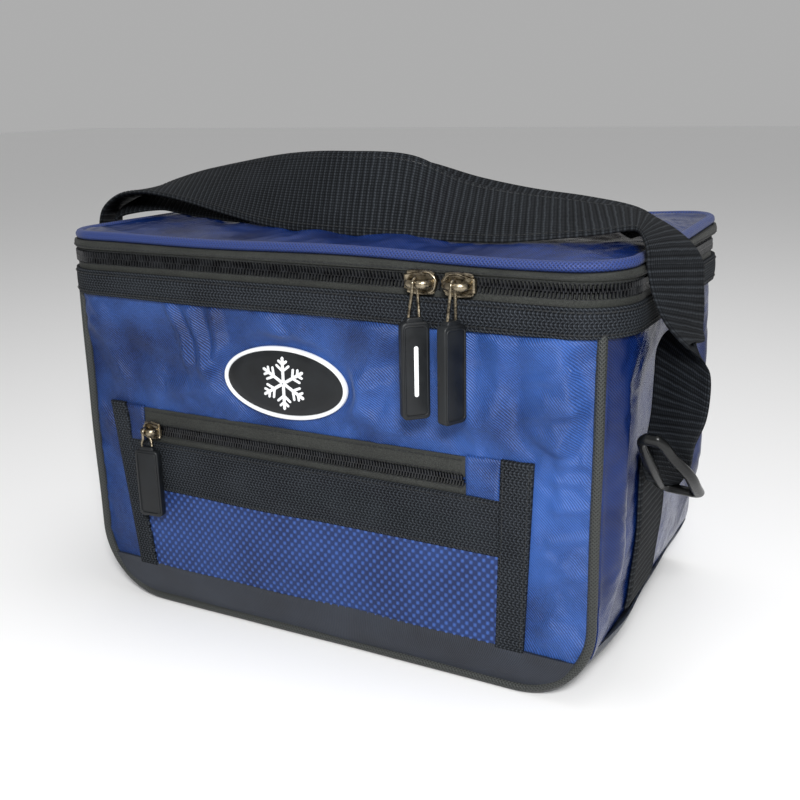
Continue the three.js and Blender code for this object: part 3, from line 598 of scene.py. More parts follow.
def body_outline(inset, top, corner_steps=14, rise_steps=10, floor_steps=24):
    """The body's front outline as (x, z), up the left side and on to the top of the right side."""
    radius = CORNER_R - inset
    centre = HALF_WIDTH - CORNER_R
    turns = np.linspace(0, np.pi / 2, corner_steps + 1)
    rise = np.linspace(top, CORNER_R, rise_steps + 1)[:-1]
    left = [(-(HALF_WIDTH - inset), z) for z in rise]
    left += [(-(centre + radius * math.cos(t)), CORNER_R - radius * math.sin(t)) for t in turns]
    floor = [(x, inset) for x in np.linspace(-centre, centre, floor_steps + 1)[1:-1]]
    right = [(-x, z) for x, z in reversed(left)]
    return np.array(left + floor + right)


def zip_path(offset, open_path=False, corner_steps=10, side_steps=30, front_steps=60):
    """The rounded rectangle of the zip plane as (x, y): rear left, round the front, rear right."""
    half_width = ZIP_HALF_WIDTH + offset
    half_depth = ZIP_HALF_DEPTH + offset
    radius = ZIP_CORNER_R + offset
    reach_x, reach_y = half_width - radius, half_depth - radius
    side_start = ZIP_SIDE_END if open_path else reach_y
    turns = np.linspace(0, np.pi / 2, corner_steps + 1)
    points = [(-half_width, y) for y in np.linspace(side_start, -reach_y, side_steps + 1)[:-1]]
    points += [(-reach_x - radius * math.cos(t), -reach_y - radius * math.sin(t)) for t in turns]
    points += [(x, -half_depth) for x in np.linspace(-reach_x, reach_x, front_steps + 1)[1:-1]]
    points += [(reach_x + radius * math.sin(t), -reach_y - radius * math.cos(t)) for t in turns]
    points += [(half_width, y) for y in np.linspace(-reach_y, side_start, side_steps + 1)[1:]]
    if not open_path:
        points += [(reach_x + radius * math.cos(t), reach_y + radius * math.sin(t)) for t in turns[1:]]
        points += [(x, half_depth) for x in np.linspace(reach_x, -reach_x, front_steps + 1)[1:-1]]
        points += [(-reach_x - radius * math.sin(t), reach_y + radius * math.cos(t)) for t in turns[:-1]]
    return np.array(points)


def zip_reach(along, offset, half_along, half_out):
    radius = ZIP_CORNER_R + offset
    past = np.clip(np.abs(along) - (half_along - ZIP_CORNER_R), 0, radius)
    return half_out - ZIP_CORNER_R + np.sqrt(radius ** 2 - past ** 2)


def zip_depth(x, offset):
    """How far forward the zip plane stands at a given x, on its rounded corners too."""
    return zip_reach(x, offset, ZIP_HALF_WIDTH, ZIP_HALF_DEPTH)


def zip_width(y, offset):
    """How far out to the side the zip plane stands at a given y."""
    return zip_reach(y, offset, ZIP_HALF_DEPTH, ZIP_HALF_WIDTH)


def mouth_flare(z):
    """The fabric flares out to the zip band near its top edge."""
    return smooth((z - 112.0) / (BAND_BOTTOM - 112.0))


def lid_lift(x, y):
    """The rear right corner of the lid curls up a little, and the rest of its edge waves."""
    corner = 1.5 * smooth((x - 80.0) / 50.0) * smooth((y - 4.0) / 74.0)
    wave = 0.5 * np.sin(x / 21.0 + 0.6) * smooth((np.abs(y) + 10) / 80.0) - 0.35 * np.sin(x / 47.0 - 1.0)
    return corner + wave


# ---------------------------------------------------------------- cloth
def mesh_points(piece):
    co = np.empty(len(piece.data.vertices) * 3)
    piece.data.vertices.foreach_get("co", co)
    return co.reshape(-1, 3) / MM


def fabric_grid(name, grid, held, excess, stiffness, seed):
    """One sheet of fabric ready for the simulation: a grid of points in mm and how firmly each is held."""
    rows, cols = grid.shape[:2]
    ids = np.arange(rows * cols).reshape(rows, cols)
    points = grid.reshape(-1, 3) + np.random.default_rng(seed).normal(0, 0.05, (rows * cols, 3))
    mesh = bpy.data.meshes.new(name)
    mesh.from_pydata((points * MM).tolist(), [], quads(ids).tolist())
    sheet = bpy.data.objects.new(name, mesh)
    bpy.context.scene.collection.objects.link(sheet)
    group = sheet.vertex_groups.new(name="held")
    for index, weight in enumerate(held.reshape(-1)):
        if weight > 0.01:
            group.add([index], float(min(weight, 1.0)), "REPLACE")
    cloth = sheet.modifiers.new("Cloth", "CLOTH")
    settings = cloth.settings
    for key, value in dict(quality=6, mass=0.12, tension_stiffness=60, compression_stiffness=60, shear_stiffness=40,
                           bending_stiffness=stiffness, tension_damping=12, shear_damping=12, air_damping=6,
                           vertex_group_mass="held", pin_stiffness=12, shrink_min=-excess).items():
        setattr(settings, key, value)
    settings.effector_weights.gravity = 0
    cloth.collision_settings.use_collision = False
    cloth.collision_settings.use_self_collision = False
    return sheet


def simulate(sheets, frames):
    """Runs every sheet together and gives back each one's points in mm."""
    scene = bpy.context.scene
    for sheet in sheets:
        sheet.modifiers["Cloth"].point_cache.frame_end = frames + 1
    for step in range(1, frames + 1):
        scene.frame_set(step)
    for sheet in sheets:
        settle(sheet)
    scene.frame_set(1)
    results = []
    for sheet in sheets:
        results.append(mesh_points(sheet))
        bpy.data.objects.remove(sheet)
    return results


def soft_floor(value, low, softness=0.5):
    """Keeps value above low with a soft bend, as fabric resting on foam does."""
    return low + softness * np.logaddexp(0, (value - low) / softness)


# The four upright panels share one layout: a row along the width at each height.
def face_heights(count=58):
    return np.linspace(PIPING_INSET + 0.6, BAND_BOTTOM + 4, count)


def face_grid(side, cols=104):
    """The front (-1) or back (+1) fabric before the cloth runs."""
    z = face_heights()[:, None]
    s = np.linspace(-1, 1, cols)[None, :]
    x = s * body_half_width(z, PIPING_INSET)
    flare = mouth_flare(z)
    depth = HALF_DEPTH * (1 - flare) + zip_depth(x, 0.2) * flare
    return np.stack([x + 0 * z, side * depth, z + 0 * x], axis=-1)


def side_profile(y, z, side):
    """How far a side panel stands off its seams: a narrow roll beside the piping, flatter behind it."""
    share = np.abs(y) / (HALF_DEPTH - 2.3)
    fade = smooth((z - BASE_TOP) / 42.0)
    edge = np.clip((1 - share) / 0.05, 0, 1)
    roll = 4.4 * bump(share, 0.88, 0.10)
    middle = 3.2 * (1 - share ** 4)
    dip = -1.6 * bump(y, -52.0, 6.0) * bump(z, 80.0, 60.0) + 1.0 * bump(y, -46.0, 5.0) * bump(z, 118.0, 26.0)
    rear = 0.8 * np.sin(z / 23.0 + y / 15.0) * smooth((y - 10.0) / 22.0) * (1 - share ** 6)
    return fade * (roll * edge + middle + (dip + rear) * edge) * (1.0 if side > 0 else 0.9)


def side_x(y, z, side):
    flare = mouth_flare(z)
    skin = body_half_width(z) + side_profile(y, z, side)
    return side * (skin * (1 - flare) + zip_width(y, 0.2) * flare)


def side_grid(side, rows=52, cols=62):
    z = np.linspace(BASE_TOP - 3, BAND_BOTTOM + 4, rows)[:, None]
    y = np.linspace(-1, 1, cols)[None, :] * (HALF_DEPTH - 0.9) + 0 * z
    return np.stack([side_x(y, z, side), y, z + 0 * y], axis=-1)


def edge_hold(grid, reach=1):
    """Which points of a grid its sewn edges hold."""
    held = np.zeros(grid.shape[:2])
    held[:reach] = held[-reach:] = 1
    held[:, :reach] = held[:, -reach:] = 1
    return held


def panel_hold(grid, reach=1, foot=True):
    """An upright panel is sewn at its edges and under the mouth band and, with a foot, behind the base band."""
    held = edge_hold(grid, reach)
    z = grid[..., 2]
    held[z > BAND_BOTTOM + 0.5] = 1
    if foot:
        held[z < BASE_BAND_TOP - 3] = 1
    return held


def front_hold(grid):
    """The front is also held round the badge and behind the pocket."""
    held = panel_hold(grid)
    x, z = grid[..., 0], grid[..., 2]
    around = ((x - BADGE[0]) / 30.0) ** 2 + ((z - BADGE[1]) / 15.0) ** 2
    held[around < 1] = 1
    held[(z < POCKET_TOP - 3) & (x > -108) & (x < 100)] = 1
    return held


def side_hold(grid):
    """A side is also held under its sewn webbing."""
    held = panel_hold(grid, reach=2, foot=False)
    held[(np.abs(grid[..., 1] - STRAP_SEWN_Y) < 18) & (grid[..., 2] < 100)] = 1
    return held


LID_INNER_OFFSET = -1.9


def lid_grid(offset, cols=104, rows=60):
    """Points over the lid's plan, closer together at its rounded ends."""
    half = ZIP_HALF_WIDTH + offset
    t = np.linspace(-1, 1, cols)
    x = np.sin(t * np.pi / 2 * 0.965) / math.sin(np.pi / 2 * 0.965)
    x = (0.45 * x + 0.55 * t) * half * 0.9995
    s = np.linspace(-1, 1, rows)
    y = s[:, None] * zip_depth(x, offset)[None, :]
    return np.broadcast_to(x, y.shape), y


def lid_share(x, y):
    """How far out a point of the lid lies, 0 to 1 along its width and along its depth."""
    return (np.clip(np.abs(x) / (ZIP_HALF_WIDTH + LID_INNER_OFFSET), 0, 1),
            np.clip(np.abs(y) / (ZIP_HALF_DEPTH + LID_INNER_OFFSET), 0, 1))


def lid_height(x, y):
    """The padded top before the cloth runs."""
    u, w = lid_share(x, y)
    rim = (1 - u ** 14) * (1 - w ** 9)
    crown = 1.9 * (1 - u ** 2) * (1 - w ** 2)
    return LID_EDGE - 0.9 + 1.6 * rim + crown + lid_lift(x, y)


def run_cloth():
    """The front, back, left, right and lid fabric after the simulation."""
    front, back, left, right = face_grid(-1), face_grid(1), side_grid(-1), side_grid(1)
    x, y = lid_grid(LID_INNER_OFFSET)
    lid = np.stack([x, y, lid_height(x, y)], axis=-1)
    specs = (("sim_front", front, front_hold(front), 0.024, 0.15, 11),
             ("sim_back", back, panel_hold(back), 0.016, 0.2, 12),
             ("sim_left", left, side_hold(left), 0.003, 1.0, 13),
             ("sim_right", right, side_hold(right), 0.003, 1.0, 14),
             ("sim_lid", lid, edge_hold(lid, reach=2), 0.006, 0.3, 15))
    moved = simulate([fabric_grid(*spec) for spec in specs], 34)
    return [points.reshape(spec[1].shape) for points, spec in zip(moved, specs)]


def refine(grid):
    """Doubles a grid's density with a smooth curve through its points."""
    def double(a):
        padded = np.concatenate([2 * a[:1] - a[1:2], a, 2 * a[-1:] - a[-2:-1]])
        middle = (9 * (padded[1:-2] + padded[2:-1]) - padded[:-3] - padded[3:]) / 16
        out = np.empty((2 * len(a) - 1, *a.shape[1:]))
        out[::2] = a
        out[1::2] = middle
        return out
    return double(double(grid).transpose(1, 0, 2)).transpose(1, 0, 2)


# ---------------------------------------------------------------- body
def fold(x, z, start, end, height, left, right):
    """A straight crease from start to end, as (x, z), that falls off evenly to its left and right."""
    (x0, z0), (x1, z1) = start, end
    length = math.hypot(x1 - x0, z1 - z0)
    ax, az = (x1 - x0) / length, (z1 - z0) / length
    along = (x - x0) * ax + (z - z0) * az
    off = (x - x0) * -az + (z - z0) * ax
    reach = np.where(off < 0, right, left)
    profile = np.clip(1 - np.abs(off) / reach, 0, 1)
    profile = 0.85 * profile + 0.15 * smooth(profile)
    ends = smooth(along / (0.3 * length) + 0.55) * smooth((length - along) / (0.3 * length) + 0.55)
    return height * profile * ends


# Creases of the front: start, end, height, and how far the slope runs to each side of its line.
FRONT_FOLDS = (
    ((106, 149), (110, 134), 3.6, 6, 24), ((110, 135), (114.5, 121), 4.0, 6, 26),
    ((114.5, 122), (108, 104), 3.2, 6, 22),
    ((-69, 149), (-60, 119), 2.2, 5, 4), ((-58, 149), (-51, 116), 2.8, 6, 5), ((-45, 149), (-46, 122), 2.2, 6, 4),
    ((38, 149), (20, 108), 3.0, 11, 14), ((64, 148), (74, 106), 2.6, 12, 9), ((86, 148), (83, 112), 2.0, 8, 10),
    ((17, 118), (60, 128), 1.0, 7, 9), ((-45, 119), (-92, 130), 1.3, 8, 10), ((-44, 112), (-84, 104), 1.0, 6, 7),
    ((-118, 140), (-100, 108), 1.5, 12, 9), ((-20, 148), (-10, 136), 1.0, 9, 8), ((30, 104), (62, 100), 0.9, 6, 5),
    ((119, 101), (108, 99), 0.8, 2, 3), ((119, 93), (106, 92), 0.8, 2, 3), ((119, 84), (105, 80), 0.9, 3, 3),
    ((119, 72), (104, 66), 1.0, 4, 3), ((118, 56), (103, 50), 0.8, 4, 3), ((-121, 96), (-110, 84), 0.8, 4, 4),
)


def badge_distance(x, z):
    """1 at the badge's rim, less inside it."""
    return np.sqrt(((x - BADGE[0]) / 31.0) ** 2 + ((z - BADGE[1]) / 16.0) ** 2)


def front_folds(x, z):
    """The front's listed creases, none of them where it is sewn."""
    total = FOLD_STRENGTH * sum(fold(x, z, *spec) for spec in FRONT_FOLDS)
    open_cloth = smooth((badge_distance(x, z) - 1.0) / 0.25) * smooth((BAND_BOTTOM - z) / 5.0 + 0.4)
    rim = smooth((body_half_width(z, PIPING_INSET) - np.abs(x)) / 5.0)
    pocket = 1 - smooth((POCKET_TOP + 4 - z) / 8.0) * smooth((x + 112) / 6.0) * smooth((103 - x) / 6.0)
    return total * open_cloth * rim * pocket


def add_faces(front, back):
    for name, side, grid, look, slot in (("front_panel_cloth", -1, front, SATIN, "blue_satin"),
                                         ("back_panel_cloth", 1, back, SATIN, "blue_coated")):
        proud = side * grid[..., 1] - HALF_DEPTH
        flare = mouth_flare(grid[..., 2])
        rest = side * face_grid(side)[..., 1] - HALF_DEPTH
        proud = soft_floor(proud, np.minimum(rest - 0.3, -0.4) * (1 - flare) + (rest - 0.3) * flare)
        proud = np.minimum(proud, rest + 5.0)
        if side < 0:
            clear = smooth((badge_distance(grid[..., 0], grid[..., 2]) - 1.06) / 0.4)
            proud = np.minimum(proud, 0.1 + 6.0 * clear)
        grid = grid.copy()
        grid[..., 1] = side * (HALF_DEPTH + proud)
        fine = refine(grid)
        if side < 0:
            fine[..., 1] -= front_folds(fine[..., 0], fine[..., 2])
            fine[..., 1] = soft_floor(fine[..., 1], PULLER_GRIP_Y + GRIP_ROOM, 0.6)
        panel = slab(name, fine, fine - [0, side * CLOTH_T, 0], look, sharp=80)
        dress(panel, "bag", slot, "front_panel" if side < 0 else "back_panel")


def add_sides(left, right):
    for name, node, side, grid in (("side_cloth_left", "side_panel_left", -1, left),
                                   ("side_cloth_right", "side_panel_right", 1, right)):
        y, z = grid[..., 1], grid[..., 2]
        grid = grid.copy()
        least = np.minimum(body_half_width(z) + 0.1, zip_width(y, 0.2))
        grid[..., 0] = side * soft_floor(side * grid[..., 0], least, 0.3)
        fine = refine(grid)
        panel = slab(name, fine, fine - [side * CLOTH_T, 0, 0], COATED, sharp=80)
        dress(panel, "bag", "blue_coated", node)


def add_piping():
    outline = body_outline(PIPING_INSET, BAND_BOTTOM + 1.5, 20, 30, 60)
    along = lengths(outline)
    for name, side in (("front_piping", -1), ("back_piping", 1)):
        flare = mouth_flare(outline[:, 1])
        depth = HALF_DEPTH + 0.3 + flare * (zip_depth(outline[:, 0], 0) - HALF_DEPTH)
        sway = 0.35 * np.sin(along / 23 + side) + 0.2 * np.sin(along / 9)
        path = np.stack([outline[:, 0], side * (depth + 0.3 * sway), outline[:, 1]], axis=-1)
        path[:, 0] += 0.4 * sway * np.sign(path[:, 0]) * smooth(outline[:, 1] / 40)
        path[:, 2] = np.maximum(path[:, 2], PIPING_R + 0.05)
        cord = sweep(f"{name}_braid", tube_rings(path, PIPING_R, (0, 1, 0), 14), BLACK_BRAID)
        dress(cord, "bag", "black_piping", name)


def add_base():
    """The base fabric: one piece under the body and up both lower corners."""
    start = math.asin((CORNER_R - BASE_TOP) / CORNER_R)
    turns = np.linspace(start, np.pi / 2, 14)
    centre = HALF_WIDTH - CORNER_R
    left = [(-(centre + CORNER_R * math.cos(t)), CORNER_R - CORNER_R * math.sin(t)) for t in turns]
    floor = [(x, 0.0) for x in np.linspace(-centre, centre, 40)[1:-1]]
    outline = np.array(left + floor + [(-x, z) for x, z in reversed(left)])
    y = np.linspace(-1, 1, 30) * (HALF_DEPTH - 1.0)
    outer = np.stack(np.broadcast_arrays(outline[:, 0][None], y[:, None], outline[:, 1][None]), axis=-1).copy()
    rise = smooth(outline[:, 1] / 10.0)[None, :]
    puff = (0.9 + 2.2 * bump(y, -34.0, 34.0)) * (1 - (np.abs(y) / HALF_DEPTH) ** 6)
    puff = puff[:, None] * rise
    puff = puff + 0.35 * rise * np.sin(y / 9.0)[:, None]
    outer[..., 0] += np.sign(outer[..., 0]) * puff
    sag = 0.5 * (1 - rise) * (0.5 + 0.5 * np.sin(y / 15.0)[:, None] * np.cos(outline[:, 0] / 31.0)[None])
    outer[..., 2] += sag * (np.abs(outline[:, 0]) < centre)[None]
    inner = outer.copy()
    inner[..., 0] -= np.sign(inner[..., 0]) * 1.0 * rise
    inner[..., 2] += 1.0 * (1 - rise)
    dress(slab("base_cloth", outer, inner, RIBBED, sharp=70), "bag", "navy_ripstop", "base_panel")


def add_base_band():
    """The dark band along the bottom of the front: it lies on the panel with a folded top edge."""
    s = np.linspace(-1, 1, 150)[None, :]
    rows = np.linspace(0, 1, 16)[:, None]
    top = BASE_BAND_TOP + 0.5 * np.sin(s * 5.1 + 0.4) + 0.3 * np.sin(s * 12.0)
    z = PIPING_INSET + 0.3 + (top - PIPING_INSET - 0.3) * rows
    x = s * body_half_width(z, PIPING_INSET + 0.2)
    puff = 1.15 + 0.8 * np.sin(np.pi * rows) * (1 + 0.35 * np.sin(s * 9.0)) + 0.3 * (rows > 0.93)
    outer = np.stack([x, -HALF_DEPTH - puff, z], axis=-1)
    inner = outer.copy()
    inner[..., 1] = -HALF_DEPTH - 0.2
    dress(slab("front_base_cloth", outer, inner, RIBBED, sharp=60), "bag", "navy_ripstop", "front_base_band")


TUB_POWER = 2 / 9             # squareness of the liner tub's plan, smaller is squarer
LIP_POWER = 2 / 7


def squared_oval(angles, half_width, half_depth, power):
    c, s = np.cos(angles), np.sin(angles)
    return np.sign(c) * np.abs(c) ** power * half_width, np.sign(s) * np.abs(s) ** power * half_depth


def add_liner():
    """The inner tub, with its lip folded out over the foam to the zip tape."""
    half_width = HALF_WIDTH - 6.0
    half_depth = HALF_DEPTH - 6.0
    heights = np.concatenate([[7.2], np.linspace(8.5, BAND_TOP - 2.6, 34)])
    angles = np.linspace(0, 2 * np.pi, 180, endpoint=False)
    rng = np.random.default_rng(5)
    phases = rng.uniform(0, 2 * np.pi, 8)
    rings = []
    for z in heights:
        width = half_width if z > CORNER_R else body_half_width(np.array(z), 6.3)
        x, y = squared_oval(angles, width, half_depth, TUB_POWER)
        crease = sum(np.sin(angles * (7 + 5 * k) + z / (9 + 3 * k) + phases[k]) / (2 + k) for k in range(6))
        pull = 1 - 0.004 * (1 + crease) * smooth((z - 8) / 20) * smooth((BAND_TOP - z) / 12)
        rings.append(np.stack([x * pull, y * pull, np.full_like(x, z)], axis=-1))
    lip_path = [(1.0, 157.9), (2.6, 158.6), (5.0, 158.9), (8.3, 158.8), (8.7, 157.9)]
    for out, z in lip_path:
        share = smooth(out / lip_path[-1][0])
        power = TUB_POWER * (1 - share) + LIP_POWER * share
        x, y = squared_oval(angles, half_width + out * 1.1, half_depth + out * 1.02, power)
        rings.append(np.stack([x, y, np.full_like(x, z)], axis=-1))
    outer = np.array(rings)
    inner = outer * [0.9955, 0.992, 1.0] + [0, 0, 0.4]
    wall = slab("liner_wall", outer, inner, LINER, loop=True, sharp=70)
    floor = np.array([outer[0] * [k, k, 1] for k in np.linspace(0.02, 1.0, 14)])
    floor[..., 2] += 0.4 + 0.35 * np.sin(floor[..., 0] / 11.0) * np.cos(floor[..., 1] / 8.0)
    bottom = slab("liner_floor", floor, floor + [0, 0, CLOTH_T], LINER, loop=True, sharp=70)
    dress(wall, "bag", "liner", "inner_liner")
    dress(bottom, "bag", "liner", "inner_liner")


# ---------------------------------------------------------------- mouth and zip
def strip(name, offset, thickness, z0, z1, look, open_path=False, rows=7, wave=0.0, lift=False):
    """A woven strip that follows the zip plane between two heights."""
    path = zip_path(offset, open_path)
    inside = zip_path(offset - thickness, open_path)
    u = lengths(path)
    share = np.linspace(0, 1, rows)[:, None]
    z = z0 + (z1 - z0) * share + wave * np.sin(u / 19.0)[None, :] * (1 - share)
    if lift:
        z = z + lid_lift(path[:, 0], path[:, 1])[None, :] * share
    swell = 0.45 * np.sin(np.pi * share) * (1 + 0.4 * np.sin(u / 27.0)[None, :])
    away = path - inside
    away = away / np.linalg.norm(away, axis=1, keepdims=True)
    outer = np.empty((rows, len(path), 3))
    inner = np.empty_like(outer)
    outer[..., :2] = path[None] + away[None] * swell[..., None]
    inner[..., :2] = inside[None]
    outer[..., 2] = z
    inner[..., 2] = z
    return slab(name, outer, inner, look, loop=not open_path, sharp=60)


def path_frames(path, pitch, start=0.0):
    """Points and outward directions at an even pitch along an (x, y) path."""
    u = lengths(path)
    spots = np.arange(start, u[-1], pitch)
    xs = np.interp(spots, u, path[:, 0])
    ys = np.interp(spots, u, path[:, 1])
    tangent = np.stack([np.interp(spots, u, np.gradient(path[:, k], u)) for k in (0, 1)], axis=-1)
    tangent /= np.linalg.norm(tangent, axis=1, keepdims=True)
    outward = np.stack([tangent[:, 1], -tangent[:, 0]], axis=-1)
    return np.stack([xs, ys], axis=-1), tangent, outward


COIL_PITCH = 1.5


def coil_row(name, path, z_root, z_tip, proud, start, pitch=COIL_PITCH):
    """One row of zip coils: a rounded tooth at every pitch, all leaning the same way."""
    spots, tangent, outward = path_frames(path, pitch, start)
    parts = []
    for (x, y), (tx, ty), (ox, oy) in zip(spots, tangent, outward):
        root = (x + ox * proud, y + oy * proud, z_root)
        tip = (x + ox * proud + tx * 0.25, y + oy * proud + ty * 0.25, z_tip)
        parts.append(capsule(root, tip, 0.52, (ox, oy, 0), flat=1.5))
    return join_parts(name, parts, COIL)


def stitches(name, path3, side, length=2.2, gap=0.9, radius=0.24):
    """A line of thread stitches along a path of points in mm; side points out of the fabric."""
    path3 = np.asarray(path3, float)
    side = np.broadcast_to(np.asarray(side, float), path3.shape)
    u = lengths(path3)
    parts = []
    for begin in np.arange(0.6, u[-1] - length, length + gap):
        ends = [np.array([np.interp(at, u, path3[:, k]) for k in range(3)]) for at in (begin, begin + length)]
        facing = np.array([np.interp(begin, u, side[:, k]) for k in range(3)])
        parts.append(capsule(ends[0], ends[1], radius, facing, flat=0.8, sides=5))
    return join_parts(name, parts, THREAD)


def band_line(offset, z, open_path=False):
    """A level line round the zip plane, as points and outward directions."""
    path = zip_path(offset, open_path)
    facing = path - zip_path(offset - 1, open_path)
    return np.column_stack([path, np.full(len(path), z)]), np.column_stack([facing, np.zeros(len(path))])


def add_mouth():
    split = ZIP_Z
    dress(strip("mouth_webbing", 2.0, 1.6, BAND_BOTTOM, BAND_TOP, BAND_WEBBING, wave=0.25), "bag",
          "black_webbing", "zip_band_lower")
    dress(strip("lower_tape", 0.5, 0.9, 155.5, split - 1.0, TAPE, True, 5), "bag", "black_webbing", "zip_tape_lower")
    dress(strip("upper_tape", 0.3, 0.9, split + 1.0, LID_BAND[1], TAPE, True, 5, lift=True), "lid", "black_webbing",
          "zip_tape_upper")
    path = zip_path(0.0, True)
    dress(coil_row("lower_coil", path, split - 2.3, split + 0.15, 0.9, 0.4), "bag", "zip_coil",
          "zip_coil_lower")
    dress(coil_row("upper_coil", path, split + 2.3, split - 0.15, 0.9, 0.4 + COIL_PITCH / 2), "lid", "zip_coil",
          "zip_coil_upper")
    for name, body, z in (("coil_thread_lower", "bag", split - 2.9), ("coil_thread_upper", "lid", split + 2.9)):
        dress(stitches(name, *band_line(0.8, z, True), 1.0, 0.55, 0.26), body, "black_webbing")
    for name, z in (("mouth_thread", BAND_TOP - 1.6), ("mouth_thread_low", BAND_BOTTOM + 1.8)):
        dress(stitches(name, *band_line(2.45, z)), "bag", "black_webbing")
    add_hinge_strip()


def add_hinge_strip():
    half = ZIP_HALF_WIDTH - ZIP_CORNER_R
    x = np.linspace(-half, half, 90)[None, :]
    z = np.linspace(BAND_TOP - 3, 169.5, 16)[:, None]
    y = ZIP_HALF_DEPTH + 0.5 + 0.12 * np.sin(x / 7.0) + 0 * z
    outer = np.stack([x + 0 * z, y, z + 0 * x], axis=-1)
    hinge = slab("hinge_tape", outer, outer - [0, 0.9, 0], TAPE)
    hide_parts("lid_hinge_strip")
    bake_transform(hinge)


# ---------------------------------------------------------------- lid
def add_lid(lid_points):
    x, y = lid_points[..., 0], lid_points[..., 1]
    base = lid_height(x, y)
    wrinkle = np.clip(lid_points[..., 2] - base, -1.2, 2.6)
    facets = 0.9 * np.abs(np.sin(x / 33.0 + 0.035 * y)) * bump(y, -58.0, 16.0) * smooth((x + 30.0) / 60.0)
    height = base + wrinkle + facets * (1 - np.clip(np.abs(x) / ZIP_HALF_WIDTH, 0, 1) ** 8)
    grid = np.stack([x, y, height], axis=-1)
    fine = refine(grid)
    u, w = lid_share(fine[..., 0], fine[..., 1])
    inner = fine.copy()
    inner[..., 2] -= 0.6 + 1.8 * (1 - u ** 10) * (1 - w ** 10)
    cover = slab("lid_cover_cloth", fine, inner, COATED, sharp=80)
    dress(cover, "lid", "blue_coated", "lid_cover")
    path = zip_path(LID_PIPING_OFFSET - 0.2)
    height = LID_PIPING_Z + lid_lift(path[:, 0], path[:, 1])
    path3 = np.column_stack([path, height])
    closed = np.vstack([path3[-1:], path3, path3[:1]])
    rings = tube_rings(closed, 2.1, (0, 0, 1), 14)[1:-1]
    dress(sweep("lid_piping_cloth", rings, BLUE_BRAID, loop=True), "lid", "blue_coated", "lid_piping")
    dress(strip("lid_band_tape", 1.6, 1.0, *LID_BAND, TAPE, rows=7, lift=True), "lid", "black_webbing", "lid_band")
    dress(stitches("lid_band_thread", *band_line(2.0, LID_BAND[0] + 0.9), 1.6, 0.8, 0.22), "lid", "black_webbing")
    gx, gy = lid_grid(-2.6, 90, 50)
    tilt = lid_lift(gx, gy) * 0.9
    quilt = 0.5 * np.sin(gx / 10.0 + 0.7 * np.sin(gy / 14)) * np.cos(gy / 12.0)
    rim = (1 - (np.abs(gx) / ZIP_HALF_WIDTH) ** 12) * (1 - (np.abs(gy) / ZIP_HALF_DEPTH) ** 12)
    under = np.stack([gx, gy, 168.4 + tilt * 0.4 + quilt * rim + 0 * gy], axis=-1)
    film = slab("lid_liner_film", refine(under), refine(under + [0, 0, 0.7]), LINER, sharp=80)
    dress(film, "lid", "liner", "lid_liner")


# ---------------------------------------------------------------- sliders and pullers
def slider_outline(length, height, steps=8):
    """Half a shield: narrow at the tail, wide and rounded at the nose, as (u, v)."""
    u = np.linspace(-1, 1, steps * 2 + 1)
    nose = np.sqrt(np.clip(1 - ((u - 0.25) / 0.78) ** 2, 0, 1))
    half = np.where(u < 0.25, 0.62 + 0.38 * smooth((u + 1) / 1.25), nose)
    top = [(length / 2 * a, height / 2 * b) for a, b in zip(u, half)]
    bottom = [(a, -b) for a, b in reversed(top[:-1])]
    return np.array(top + bottom)


def dished_plate(name, outline, centre, nose, y_back, y_front, dish, look):
    """A slider plate with a raised rim and a hollow face, facing -Y."""
    cx, cz = centre
    loops = [(1.0, y_back), (1.0, y_front + 0.35), (0.95, y_front), (0.86, y_front + 0.05), (0.72, y_front + dish),
             (0.35, y_front + dish * 0.8), (0.02, y_front + dish * 0.6)]
    rings = [np.column_stack([cx + nose * outline[:, 0] * k, np.full(len(outline), y), cz + outline[:, 1] * k])
             for k, y in loops]
    return sweep(name, rings, look, sharp=60)


def bar_arch(x, z, length, y_plate, y_bar):
    """The arched bridge that the puller hangs on, as a path of points."""
    t = np.linspace(0, np.pi, 15)
    xs = x + length / 2 * -np.cos(t)
    ys = y_plate + (y_bar - y_plate) * np.sin(t) ** 0.55
    return np.column_stack([xs, ys, np.full_like(xs, z)])


def add_slider(name, node, body, x, z, nose, length, height, y_back, y_front, y_bar):
    outline = slider_outline(length, height)
    plate = dished_plate(name, outline, (x, z), nose, y_back, y_front, 0.55, METAL)
    dress(plate, body, "slider_metal", node)
    arch = bar_arch(x, z, length * 0.7, y_front + 0.4, y_bar - 0.4)
    bridge = sweep(f"{name}_bridge", tube_rings(arch, 0.85, (0, 0, 1), 10, flat=1.7), METAL)
    dress(bridge, body, "slider_metal")
    wing_parts = []
    for edge in (-1, 1):
        lip = [(x + nose * u * length / 2, y_front + 1.0, z + edge * height * (0.36 + 0.10 * (1 - u * u)))
               for u in np.linspace(-0.8, 0.75, 8)]
        for a, b in zip(lip[:-1], lip[1:]):
            wing_parts.append(capsule(a, b, 0.75, (0, 1, 0), sides=8))
    dress(join_parts(f"{name}_flange", wing_parts, METAL), body, "slider_metal")


